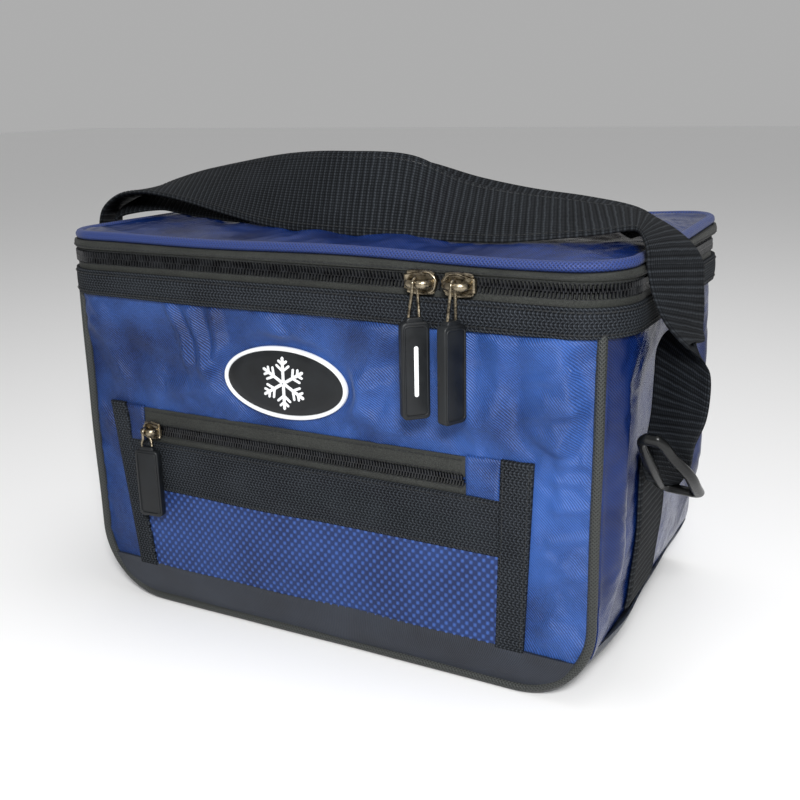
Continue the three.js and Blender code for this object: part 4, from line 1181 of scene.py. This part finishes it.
def pull_wire(name, node, body, x, bar_y, bar_z, grip_y, grip_top, twist):
    """The wire loop: round the bar from front to back, then turning as it drops to the grip."""
    loop_r, straight = 2.1, 2.5
    drop = bar_z - grip_top - 0.3
    arc = [(loop_r * math.cos(a), loop_r * math.sin(a)) for a in np.linspace(math.pi, 0, 17)]
    downs = [-straight - (drop - straight) * k / 10 for k in range(11)]
    in_plane = [(-loop_r, h) for h in reversed(downs)] + arc + [(loop_r, h) for h in downs]
    lean = (grip_y - bar_y) / drop
    points, sides = [], []
    for u, h in in_plane:
        share = max((-h - straight) / (drop - straight), 0)
        turn = math.pi / 2 + (twist - math.pi / 2) * share
        points.append((x + u * math.cos(turn), bar_y + max(-h, 0) * lean + u * math.sin(turn), bar_z + h))
        sides.append((-math.sin(turn), math.cos(turn), 0))
    wire = sweep(name, tube_rings(points, 0.62, sides, 10), METAL)
    dress(wire, body, "slider_metal", node)


def rounded_loop(half_width, half_height, corner, steps):
    """A rounded rectangle round the origin."""
    points = []
    for sx, sy, start in ((1, 1, 0), (-1, 1, 90), (-1, -1, 180), (1, -1, 270)):
        for k in range(steps + 1):
            angle = math.radians(start + 90 * k / steps)
            points.append((sx * (half_width - corner) + corner * math.cos(angle),
                           sy * (half_height - corner) + corner * math.sin(angle)))
    return np.array(points)


def rounded_rect(width, height, corner):
    """A rounded rectangle that hangs below the origin, as (x, z)."""
    return rounded_loop(width / 2, height / 2, corner, 5) - [0, height / 2]


def turned(x, y, z, twist):
    """Places points made round a grip's own origin."""
    def place(points):
        c, s = math.cos(twist), math.sin(twist)
        return np.column_stack([x + points[:, 0] * c - points[:, 1] * s, y + points[:, 0] * s + points[:, 1] * c,
                                z + points[:, 2]])
    return place


def add_grip(name, node, body, x, y, top, width, thickness, length, twist, stripe):
    place = turned(x, y, top, twist)
    half = thickness / 2
    grip = prism(name, rounded_rect(width, length, 2.0), half, -half, BLACK_RUBBER, 0.7, place)
    dress(grip, body, "black_rubber", node)
    lug = prism(f"{name}_lug", rounded_rect(width * 0.62, 4.2, 1.4) + [0, 1.6], half * 0.72, -half * 0.72,
                BLACK_RUBBER, 0.5, place)
    dress(lug, body, "black_rubber")
    rim_outer = rounded_rect(width - 2.2, length - 3.0, 1.4) + [0, -1.5]
    path = np.column_stack([rim_outer[:, 0], np.full(len(rim_outer), -half), rim_outer[:, 1]])
    ring_path = np.vstack([path[-1:], path, path[:1]])
    rings = tube_rings(ring_path, 0.42, (0, 1, 0), 8)[1:-1]
    rim = sweep(f"{name}_rim", place(rings.reshape(-1, 3)).reshape(rings.shape), BLACK_RUBBER, loop=True)
    dress(rim, body, "black_rubber")
    if stripe:
        line = rounded_rect(1.7, length * 0.52, 0.8) - [0, length * 0.24]
        mark = prism(f"{name}_stripe", line, -half + 0.3, -half - 0.35, WHITE_RUBBER, 0.25, place)
        dress(mark, body, "white_rubber")


def add_sliders():
    coil_front = -ZIP_HALF_DEPTH - 1.5
    for side, x, nose, degrees in (("left", LEFT_SLIDER_X, 1, 45), ("right", RIGHT_SLIDER_X, -1, 68)):
        add_slider(f"slider_{side}", f"zip_slider_{side}", f"zip_slider_{side}", x, ZIP_Z, nose, 13.6, 8.6,
                   coil_front - 0.4, coil_front - 2.2, PULLER_BAR_Y)
        twist = math.radians(degrees)
        body = f"puller_{side}"
        pull_wire(f"wire_{side}", f"pull_wire_{side}", body, x, PULLER_BAR_Y, ZIP_Z, PULLER_GRIP_Y, 151.5, twist)
        add_grip(f"grip_{side}", f"pull_grip_{side}", body, x, PULLER_GRIP_Y, 151.5, 11, 4.6, 37.5, twist,
                 side == "left")
    skin = -HALF_DEPTH
    add_slider("slider_pocket", "pocket_slider", "pocket_slider", POCKET_SLIDER_X, POCKET_ZIP_Z, -1, 10, 7.6,
               skin - 2.5, skin - 3.9, skin - 7.4)
    twist = math.radians(6)
    pull_wire("wire_pocket", "pull_wire_pocket", "puller_pocket", POCKET_SLIDER_X, skin - 7.4, POCKET_ZIP_Z,
              skin - 7.4, 79, twist)
    add_grip("grip_pocket", "pull_grip_pocket", "puller_pocket", POCKET_SLIDER_X, skin - 7.4, 79, 12.2, 3.6, 32,
             twist, False)


# ---------------------------------------------------------------- badge
def badge_ring(half_width, half_height, y, steps=96):
    """An oval round the badge's middle at depth y."""
    t = 2 * np.pi * np.arange(steps) / steps
    x, z = BADGE[0] + half_width * np.cos(t), BADGE[1] + half_height * np.sin(t)
    return np.column_stack([x, np.full(steps, y), z])


def add_badge():
    skin = -HALF_DEPTH
    section = [(30.6, 15.6, -0.4), (30.6, 15.6, -1.7), (30.2, 15.2, -2.25), (29.6, 14.6, -2.4), (29.1, 14.1, -2.2),
               (28.8, 13.8, -1.6), (28.8, 13.8, -0.4)]
    rings = np.array([badge_ring(a, b, skin + y) for a, b, y in section]).transpose(1, 0, 2)
    dress(sweep("badge_rim_ring", rings, WHITE_RUBBER, loop=True), "bag", "white_rubber", "badge_rim")
    dome = [(1.0, -0.4), (1.0, -1.45), (0.985, -1.6), (0.8, -1.75), (0.5, -1.85), (0.02, -1.9)]
    plate = [badge_ring(28.7 * k, 13.7 * k, skin + y) for k, y in dome]
    dress(sweep("badge_dome", plate, BLACK_RUBBER), "bag", "black_rubber", "badge_plate")
    add_frost_star(skin)


def add_frost_star(skin):
    """A six-armed frost star: round-edged bars with two pairs of twigs on each arm."""
    reach = 11.0
    parts = []
    origin = np.array([BADGE[0], skin - 2.0, BADGE[1]])
    for arm in range(6):
        angle = math.pi / 2 + arm * math.pi / 3
        along = np.array([math.cos(angle), 0, math.sin(angle)])
        parts.append(capsule(origin, origin + along * reach, 0.72, (0, 1, 0), flat=0.75, sides=10))
        for start, size in ((0.48, 3.9), (0.74, 2.5)):
            for lean in (-1, 1):
                twig = angle + lean * math.radians(52)
                way = np.array([math.cos(twig), 0, math.sin(twig)])
                root = origin + along * reach * start
                parts.append(capsule(root, root + way * size, 0.58, (0, 1, 0), flat=0.8, sides=10))
    dress(join_parts("badge_star", parts, WHITE_RUBBER), "bag", "white_rubber", "badge_emblem")


# ---------------------------------------------------------------- pocket
POCKET_EDGES = {"left_outer": (-110.5, -101.5), "left_inner": (-102.0, -92.0),
                "right_inner": (85.0, 83.2), "right_outer": (98.2, 95.0)}


def pocket_x(edge, z):
    top, bottom = POCKET_EDGES[edge]
    return bottom + (top - bottom) * (z - BASE_BAND_TOP) / (POCKET_TOP - BASE_BAND_TOP)


def pocket_wave(x, z):
    """The pocket's own gentle waves, proud of the panel."""
    wave = 0.8 * np.sin(x / 29.0 + z / 33.0 + 1.1) + 0.5 * np.sin(x / 13.0 - z / 21.0)
    return wave * smooth((z - BASE_BAND_TOP) / 12) * smooth((POCKET_TOP - z) / 30)


def pocket_patch(name, left, right, z0, z1, proud, look, rows, cols, relief=None, back=0.25, wave=1.0, edge=0.25):
    """A patch of the pocket between two leaning edges, with softly rounded borders."""
    z = np.linspace(z0, z1, rows)[:, None]
    s = np.linspace(0, 1, cols)[None, :]
    x = left(z) + (right(z) - left(z)) * s
    border = np.minimum.reduce([s * (right(z) - left(z)), (1 - s) * (right(z) - left(z)), z - z0 + 0 * s,
                                z1 - z + 0 * s])
    out = proud - edge * (1 - smooth(border / 1.2)) + wave * np.maximum(pocket_wave(x, z), -0.2)
    if relief is not None:
        out = out + relief(x, z)
    outer = np.stack([x, -HALF_DEPTH - out, z + 0 * x], axis=-1)
    inner = np.stack([x, np.full_like(x, -HALF_DEPTH - back), z + 0 * x], axis=-1)
    uv = np.stack([x, z + 0 * x], axis=-1)
    return slab(name, outer, inner, look, uv=uv, sharp=60)


def edge_of(name, shift=0.0):
    return lambda z: pocket_x(name, z) + shift


def add_pocket():
    skin = -HALF_DEPTH
    left, right = edge_of("left_inner", 0.2), edge_of("right_inner", -0.2)
    low, high = POCKET_BAND
    split = 0.6
    panel = pocket_patch("pocket_cloth", left, right, BASE_BAND_TOP - 1, low + 1.0, 1.3, DOBBY, 84, 300,
                         relief=lambda x, z: 0.32 * dobby_height(x, z))
    dress(panel, "bag", "blue_dobby", "pocket_panel")
    band = pocket_patch("pocket_band", left, right, low, high, 2.1, BAND_WEBBING, 24, 180)
    dress(band, "bag", "black_webbing", "pocket_webbing_band")
    for side, outer, inner in (("left", "left_outer", "left_inner"), ("right", "right_inner", "right_outer")):
        edge = pocket_patch(f"pocket_edge_{side}", edge_of(outer), edge_of(inner), BASE_BAND_TOP - 1, POCKET_TOP, 2.5,
                            BAND_WEBBING, 60, 12, wave=0.7, edge=0.5)
        dress(edge, "bag", "black_webbing", f"pocket_binding_{side}")
        for seam, shift in ((outer, 1.3), (inner, -1.3)):
            zs = np.linspace(BASE_BAND_TOP + 1, POCKET_TOP - 1.5, 30)
            xs = pocket_x(seam, zs) + shift
            line = np.column_stack([xs, skin - 2.45 - 0.7 * np.maximum(pocket_wave(xs, zs), -0.2), zs])
            dress(stitches(f"pocket_thread_{side}_{'ab'[shift < 0]}", line, (0, -1, 0), 2.0, 0.9, 0.2), "bag",
                  "black_webbing")
    zip_left, zip_right = POCKET_ZIP_ENDS
    flat = {"left": lambda z: zip_left + 0 * z, "right": lambda z: zip_right + 0 * z}
    for name, node, z0, z1, proud in (
            ("pocket_tape_low", "pocket_zip_tape_lower", high - 0.3, POCKET_ZIP_Z - 1.4, 1.1),
            ("pocket_tape_high", "pocket_zip_tape_upper", POCKET_ZIP_Z + 1.4, 96.6, 1.3)):
        dress(pocket_patch(name, flat["left"], flat["right"], z0, z1, proud, TAPE, 8, 120, wave=0.5), "bag",
              "black_webbing", node)
    x = np.linspace(zip_left + 0.5, zip_right - 0.5, 200)
    path = np.column_stack([x, np.full_like(x, skin)])
    pitch = 1.3
    dress(coil_row("pocket_coil_low", path, POCKET_ZIP_Z - split - 1.4, POCKET_ZIP_Z + 0.1, 1.5, 0.2, pitch),
          "bag", "zip_coil", "pocket_zip_coil_lower")
    dress(coil_row("pocket_coil_high", path, POCKET_ZIP_Z + split + 1.4, POCKET_ZIP_Z - 0.1, 1.5,
                   0.2 + pitch / 2, pitch), "bag", "zip_coil", "pocket_zip_coil_upper")
    seams = (("pocket_seam_high", 95.4, 1.75, zip_left, zip_right), ("pocket_seam_low", high - 1.3, 2.3, -97, 86),
             ("pocket_seam_band", low + 1.4, 2.3, -94, 86),
             ("pocket_coil_thread_high", POCKET_ZIP_Z + 2.9, 1.55, zip_left, zip_right),
             ("pocket_coil_thread_low", POCKET_ZIP_Z - 2.9, 1.4, zip_left, zip_right))
    for name, z, proud, x0, x1 in seams:
        xs = np.linspace(x0 + 1, x1 - 1, 160)
        line = np.column_stack([xs, skin - proud - np.maximum(pocket_wave(xs, z), -0.2), np.full_like(xs, z)])
        dress(stitches(name, line, (0, -1, 0), 1.9, 0.8, 0.2), "bag", "black_webbing")
    for side, start, end in (("left", edge_of("left_inner", 0.2), flat["left"]),
                             ("right", flat["right"], edge_of("right_inner", -0.2))):
        tab = pocket_patch(f"zip_tab_{side}", start, end, high - 0.5, POCKET_TOP - 0.6, 1.9, SATIN, 26, 22,
                           relief=lambda x, z: 0.35 * np.sin(z / 2.9 + x / 5.0), edge=0.7)
        dress(tab, "bag", "blue_satin", f"pocket_zip_tab_{side}")


# ---------------------------------------------------------------- strap
# Each station gives the strap's lower, nearer edge and its upper, farther edge.
BOW = (((-134.5, -48, 171), (-150.5, -15, 164.5)), ((-134.5, -44, 181.3), (-151.5, -11.5, 178.2)),
       ((-131.5, -37.5, 187), (-148.5, -4.5, 183)), ((-115, -38, 189.5), (-133, -5, 187.9)),
       ((-102, -38, 188.2), (-120, -4.9, 192.6)), ((-86.5, -39, 185.7), (-101.5, -6, 197.6)),
       ((-64.5, -43, 182), (-74.5, -12.5, 202.4)), ((-30.5, -51, 178), (-34.5, -28.5, 207.8)),
       ((4, -59.5, 177.7), (-0.5, -41, 209.6)), ((36, -60.5, 177.6), (32, -40.5, 207.9)),
       ((57, -61, 177.7), (49, -31.5, 198.4)), ((77.5, -60, 178), (66.5, -27.5, 194)),
       ((98.5, -54, 179.6), (86.5, -20, 190.8)), ((114.5, -50, 181.4), (100.5, -15.5, 188.4)),
       ((124, -46, 182.8), (113.5, -9, 186)), ((130.5, -56, 180.5), (134, -19, 179)),
       ((132.8, -60, 176.8), (142.5, -23.5, 173)), ((133, -60, 173), (145, -24, 168.8)))
TAIL = (((-140.5, -30, 174.5), (-147, -19, 177.5)), ((-137.8, -28, 176.8), (-145.5, -16, 180)),
        ((-130.4, -26, 178.4), (-142, -3, 184.5)), ((-123.1, -24, 179.3), (-134.5, 1, 187)),
        ((-114.2, -24, 179.8), (-126, 3, 188)), ((-102.2, -24, 178.2), (-110.8, 4, 192)),
        ((-66, -37.5, 177.9), (-76.5, -5, 199.6)),
        ((-31, -43, 177.8), (-34.5, -18, 205.5)), ((4.5, -44, 177.8), (1, -20, 206.4)),
        ((26, -42, 177.9), (22.5, -14.5, 204.2)), ((46.5, -34, 178), (43, -1, 196.7)),
        ((67, -29, 178.4), (63.5, 6, 192)), ((91, -25, 180), (88, 12.5, 188.2)),
        ((109, -27, 180.6), (109.5, 10.5, 184.5)), ((120, -37, 178.8), (126, -1, 178.6)))
RIGHT_LEG = (((134.5, -60, 166), (145.5, -24, 161)),
             ((136.5, -60, 160), (146.2, -24, 151.5)), ((140, -59.5, 153), (146.2, -24, 143)),
             ((147, -59, 145.4), (146.3, -22, 138)), ((153.5, -58.5, 140.5), (140.4, -23, 143)),
             ((156.5, -59, 136.8), (134.4, -29, 143)), ((157.5, -59.5, 132.8), (131.6, -33, 137.3)),
             ((157.7, -60.5, 124.8), (131.6, -36, 126.5)),
             ((157.3, -62.4, 119), (132.6, -42, 113)), ((152.3, -53.5, 106.3), (132.4, -47, 103.5)),
             ((147.7, -38.5, 91.5), (131.8, -49, 95.5)), ((141, -27.5, 79.5), (132.4, -44.5, 87)))
LEFT_LEG = (((-134.5, -48, 150), (-143.5, -12.5, 146)),
            ((-132.5, -42, 123), (-136, -4.5, 121)), ((-132.2, -36, 100.5), (-132.6, 2, 99.6)))


def spline(points, count):
    """A centripetal Catmull-Rom curve through points, sampled evenly by point number."""
    points = np.asarray(points, float)
    padded = np.vstack([2 * points[0] - points[1], points, 2 * points[-1] - points[-2]])
    out = []
    for t in np.linspace(0, len(points) - 1, count):
        i = min(int(t), len(points) - 2)
        p = padded[i:i + 4]
        knots = np.concatenate([[0], np.cumsum(np.sqrt(np.linalg.norm(np.diff(p, axis=0), axis=1)))])
        at = knots[1] + (knots[2] - knots[1]) * (t - i)
        a = [p[k] + (p[k + 1] - p[k]) * (at - knots[k]) / (knots[k + 1] - knots[k]) for k in range(3)]
        b = [a[k] + (a[k + 1] - a[k]) * (at - knots[k]) / (knots[k + 2] - knots[k]) for k in range(2)]
        out.append(b[0] + (b[1] - b[0]) * (at - knots[1]) / (knots[2] - knots[1]))
    return np.array(out)


def ribbon_grids(stations, count, crown):
    """The two faces of a webbing ribbon, rounded at both edges, and its own (u, v) in mm."""
    a = spline([s[0] for s in stations], count)
    b = spline([s[1] for s in stations], count)
    middle = (a + b) / 2
    forward = np.gradient(middle, axis=0)
    lift = np.cross(forward, b - a)
    lift /= np.linalg.norm(lift, axis=1, keepdims=True)
    share = np.linspace(0, 1, STRAP_COLUMNS)
    edge = np.minimum(share, 1 - share) * STRAP_WIDTH
    half = STRAP_T / 2 * np.sqrt(np.clip(edge / 0.9, 0.06, 1.0))
    half = half * (1 + 0.12 * bump(edge, 2.2, 0.7))
    cup = crown * (1 - (2 * share - 1) ** 2)
    base = a[:, None] + (b - a)[:, None] * share[None, :, None]
    outer = base + lift[:, None] * (half + cup)[None, :, None]
    inner = base + lift[:, None] * (cup - half)[None, :, None]
    u = lengths(middle)
    uv = np.stack(np.broadcast_arrays(u[:, None], (share * STRAP_WIDTH)[None]), axis=-1)
    return outer, inner, uv, lift


def ribbon_piece(name, grids, rows=slice(None)):
    outer, inner, uv, _ = grids
    return slab(name, outer[rows], inner[rows], STRAP_WEBBING, uv=uv[rows], sharp=60)


BOW_BODY = (1.9, 14.4)        # the stations between which the bow is rigid; its ends are separate pieces


def add_strap():
    steps = 260
    bow = ribbon_grids(BOW, steps + 1, crown=0.5)
    spans = len(BOW) - 1
    at = [0, round(steps * BOW_BODY[0] / spans), round(steps * BOW_BODY[1] / spans), steps]
    left_end = ribbon_piece("strap_end_left", bow, slice(at[0], at[1] + 1))
    middle = ribbon_piece("strap_bow_webbing", bow, slice(at[1], at[2] + 1))
    right_end = ribbon_piece("strap_end_right", bow, slice(at[2], at[3] + 1))
    dress(middle, "strap", "black_webbing", "strap_bow")
    for piece, x in ((left_end, -0.137), (right_end, 0.137)):
        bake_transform(piece)
    tail = ribbon_grids(TAIL, 220, crown=0.4)
    dress(ribbon_piece("strap_tail_webbing", tail), "strap", "black_webbing", "strap_tail")
    right = ribbon_grids((BOW[-2], BOW[-1]) + RIGHT_LEG, 150, crown=0.3)
    start = int(np.argmax(right[0][:, 12, 2] < 171.0))
    leg = ribbon_piece("strap_leg_right_webbing", right, slice(start - 1, None))
    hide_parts("strap_leg_right")
    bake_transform(leg)
    left = ribbon_grids((BOW[0],) + LEFT_LEG, 100, crown=0.3)
    leg = ribbon_piece("strap_leg_left_webbing", left)
    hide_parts("strap_leg_left")
    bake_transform(leg)
    add_strap_thread(bow, at)
    for side, top in ((-1, 98), (1, 94)):
        add_side_webbing(side, top)


def add_strap_thread(bow, at):
    """Sewing lines along both edges of the bow."""
    outer, inner, _, lift = bow
    for name, column in zip(("strap_thread_low", "strap_thread_high"), THREAD_COLUMNS):
        rows = slice(at[1] + 2, at[2] - 1)
        for face, grid, sign in (("front", outer, 1), ("back", inner, -1)):
            line = grid[rows, column] + sign * lift[rows] * 0.05
            dress(stitches(f"{name}_{face}", line, sign * lift[rows], 1.7, 0.9, 0.22), "strap", "black_webbing")


def add_side_webbing(side, top):
    """The webbing sewn down one side, with a sewing line along each edge."""
    name = "right" if side > 0 else "left"
    share = np.linspace(-1, 1, STRAP_COLUMNS)[None, :]
    z, across = np.broadcast_arrays(np.linspace(27, top, 60)[:, None], share * STRAP_WIDTH / 2)
    y = STRAP_SEWN_Y + across
    edge = (1 - np.abs(share)) * STRAP_WIDTH / 2
    half = STRAP_T / 2 * np.sqrt(np.clip(edge / 0.9, 0.06, 1.0))
    centre = np.abs(side_x(y, z, side)) + 1.2
    outer = np.stack([side * (centre + half), y, z], axis=-1)
    inner = np.stack([side * (centre - half), y, z], axis=-1)
    uv = np.stack([z, across], axis=-1)
    webbing_piece = slab(f"side_webbing_{name}_cloth", outer, inner, STRAP_WEBBING, uv=uv, sharp=60)
    dress(webbing_piece, "bag", "black_webbing", f"side_webbing_{name}")
    for tag, column in zip("ab", THREAD_COLUMNS):
        line = outer[:, column] + [side * 0.1, 0, 0]
        dress(stitches(f"side_thread_{name}_{tag}", line, (side, 0, 0), 2.0, 1.0, 0.22), "bag", "black_webbing")


def adjuster_place():
    """The adjuster ring's own frame, as in the CAD: long axis, across axis, thin axis."""
    along = np.array([0.02, 0.72, -0.69])
    along /= np.linalg.norm(along)
    lean = np.array([-1.0, 0.07, 0.04])
    across = lean - along * lean.dot(along)
    across /= np.linalg.norm(across)
    return np.column_stack([along, across, np.cross(along, across)]), np.array([142.5, -46.5, 93.5])


def add_adjuster():
    """The adjuster: a moulded ring whose outer bar leans in towards the bag at its upper end."""
    turn, centre = adjuster_place()

    def place(points):
        points = np.asarray(points, float).copy()
        x, y = points[..., 0], points[..., 1]
        points[..., 1] = y + 7.5 * smooth((4.0 - x) / 25.0) * np.clip(0.5 - y / 15.0, 0, 1)
        points[..., 2] += 0.004 * x ** 2 - 1.0
        return points @ turn.T + centre

    loop = rounded_loop(21.0, 7.6, 3.6, 7)
    straight = np.linspace(0, 1, 9)[1:-1]
    path = []
    for a, b in zip(loop, np.roll(loop, -1, axis=0)):
        path.append(a)
        if np.linalg.norm(b - a) > 6:
            path += [a + (b - a) * k for k in straight]
    path = np.array(path)
    flat = np.column_stack([path, np.zeros(len(path))])
    rings = tube_rings(np.vstack([flat[-1:], flat, flat[:1]]), 2.5, (0, 0, 1), 16, flat=0.8)[1:-1]
    ring = sweep("adjuster_ring", place(rings), PLASTIC, loop=True)
    dress(ring, "adjuster", "black_plastic", "strap_adjuster")


# ---------------------------------------------------------------- carried-over CAD pieces
def finish_carried_nodes():
    """The foam blocks keep their CAD shape; every other node is replaced by pieces above."""
    for name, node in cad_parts.items():
        if "foam" in name:
            node.data.materials.clear()
            node.data.materials.append(FOAM)


# ---------------------------------------------------------------- camera, floor and light
def add_camera():
    azimuth, elevation, roll = math.radians(28.40), math.radians(16.45), math.radians(-1.19)
    distance, shift_right, target_z = 501.5, 0.91, 90.89
    back = Vector((math.sin(azimuth) * math.cos(elevation), -math.cos(azimuth) * math.cos(elevation),
                   math.sin(elevation)))
    right = Vector((math.cos(azimuth), math.sin(azimuth), 0))
    up = back.cross(right)
    camera = bpy.data.objects.new("camera", bpy.data.cameras.new("camera"))
    bpy.context.scene.collection.objects.link(camera)
    target = Vector((0, 0, target_z)) + right * shift_right
    turn = Matrix((right, up, back)).transposed() @ Matrix.Rotation(roll, 3, "Z")
    camera.matrix_world = Matrix.Translation((target + back * distance) * MM) @ turn.to_4x4()
    camera.data.lens = 47.05
    camera.data.sensor_width = 36
    camera.data.clip_start = 0.01
    bpy.context.scene.camera = camera


def area_light(name, place, target, size, power):
    data = bpy.data.lights.new(name, "AREA")
    data.shape = "RECTANGLE"
    data.size, data.size_y = size
    data.energy = power
    light = bpy.data.objects.new(name, data)
    bpy.context.scene.collection.objects.link(light)
    light.location = place
    light.rotation_euler = (Vector(target) - Vector(place)).to_track_quat("-Z", "Y").to_euler()


def add_studio():
    world = bpy.data.worlds.new("studio")
    bpy.context.scene.world = world
    world.use_nodes = True
    world.node_tree.nodes["Background"].inputs["Color"].default_value = (1, 1, 1, 1)
    world.node_tree.nodes["Background"].inputs["Strength"].default_value = 0.42
    area_light("key", (0.36, -0.62, 0.52), (0.06, -0.07, 0.1), (0.16, 0.16), 7.0)
    area_light("top", (0.1, 0.1, 1.2), (0, 0, 0.15), (0.7, 0.5), 3.5)
    mesh = bpy.data.meshes.new("floor")
    half = 6.0
    corners = [(-half, -half, 0), (half, -half, 0), (half, half, 0), (-half, half, 0)]
    mesh.from_pydata(corners, [], [(0, 1, 2, 3)])
    floor = bpy.data.objects.new("floor", mesh)
    bpy.context.scene.collection.objects.link(floor)
    look = Finish("floor", (0.93, 0.93, 0.93), 0.9)
    mesh.materials.append(look.material)
    floor.location = (0, 0, -0.0002)
    bpy.context.scene.view_settings.view_transform = "Standard"


add_camera()
add_studio()
front_cloth, back_cloth, left_cloth, right_cloth, lid_cloth = run_cloth()
add_faces(front_cloth, back_cloth)
add_sides(left_cloth, right_cloth)
add_piping()
add_base()
add_base_band()
add_liner()
add_mouth()
add_lid(lid_cloth)
add_sliders()
add_badge()
add_pocket()
add_strap()
add_adjuster()
finish_carried_nodes()
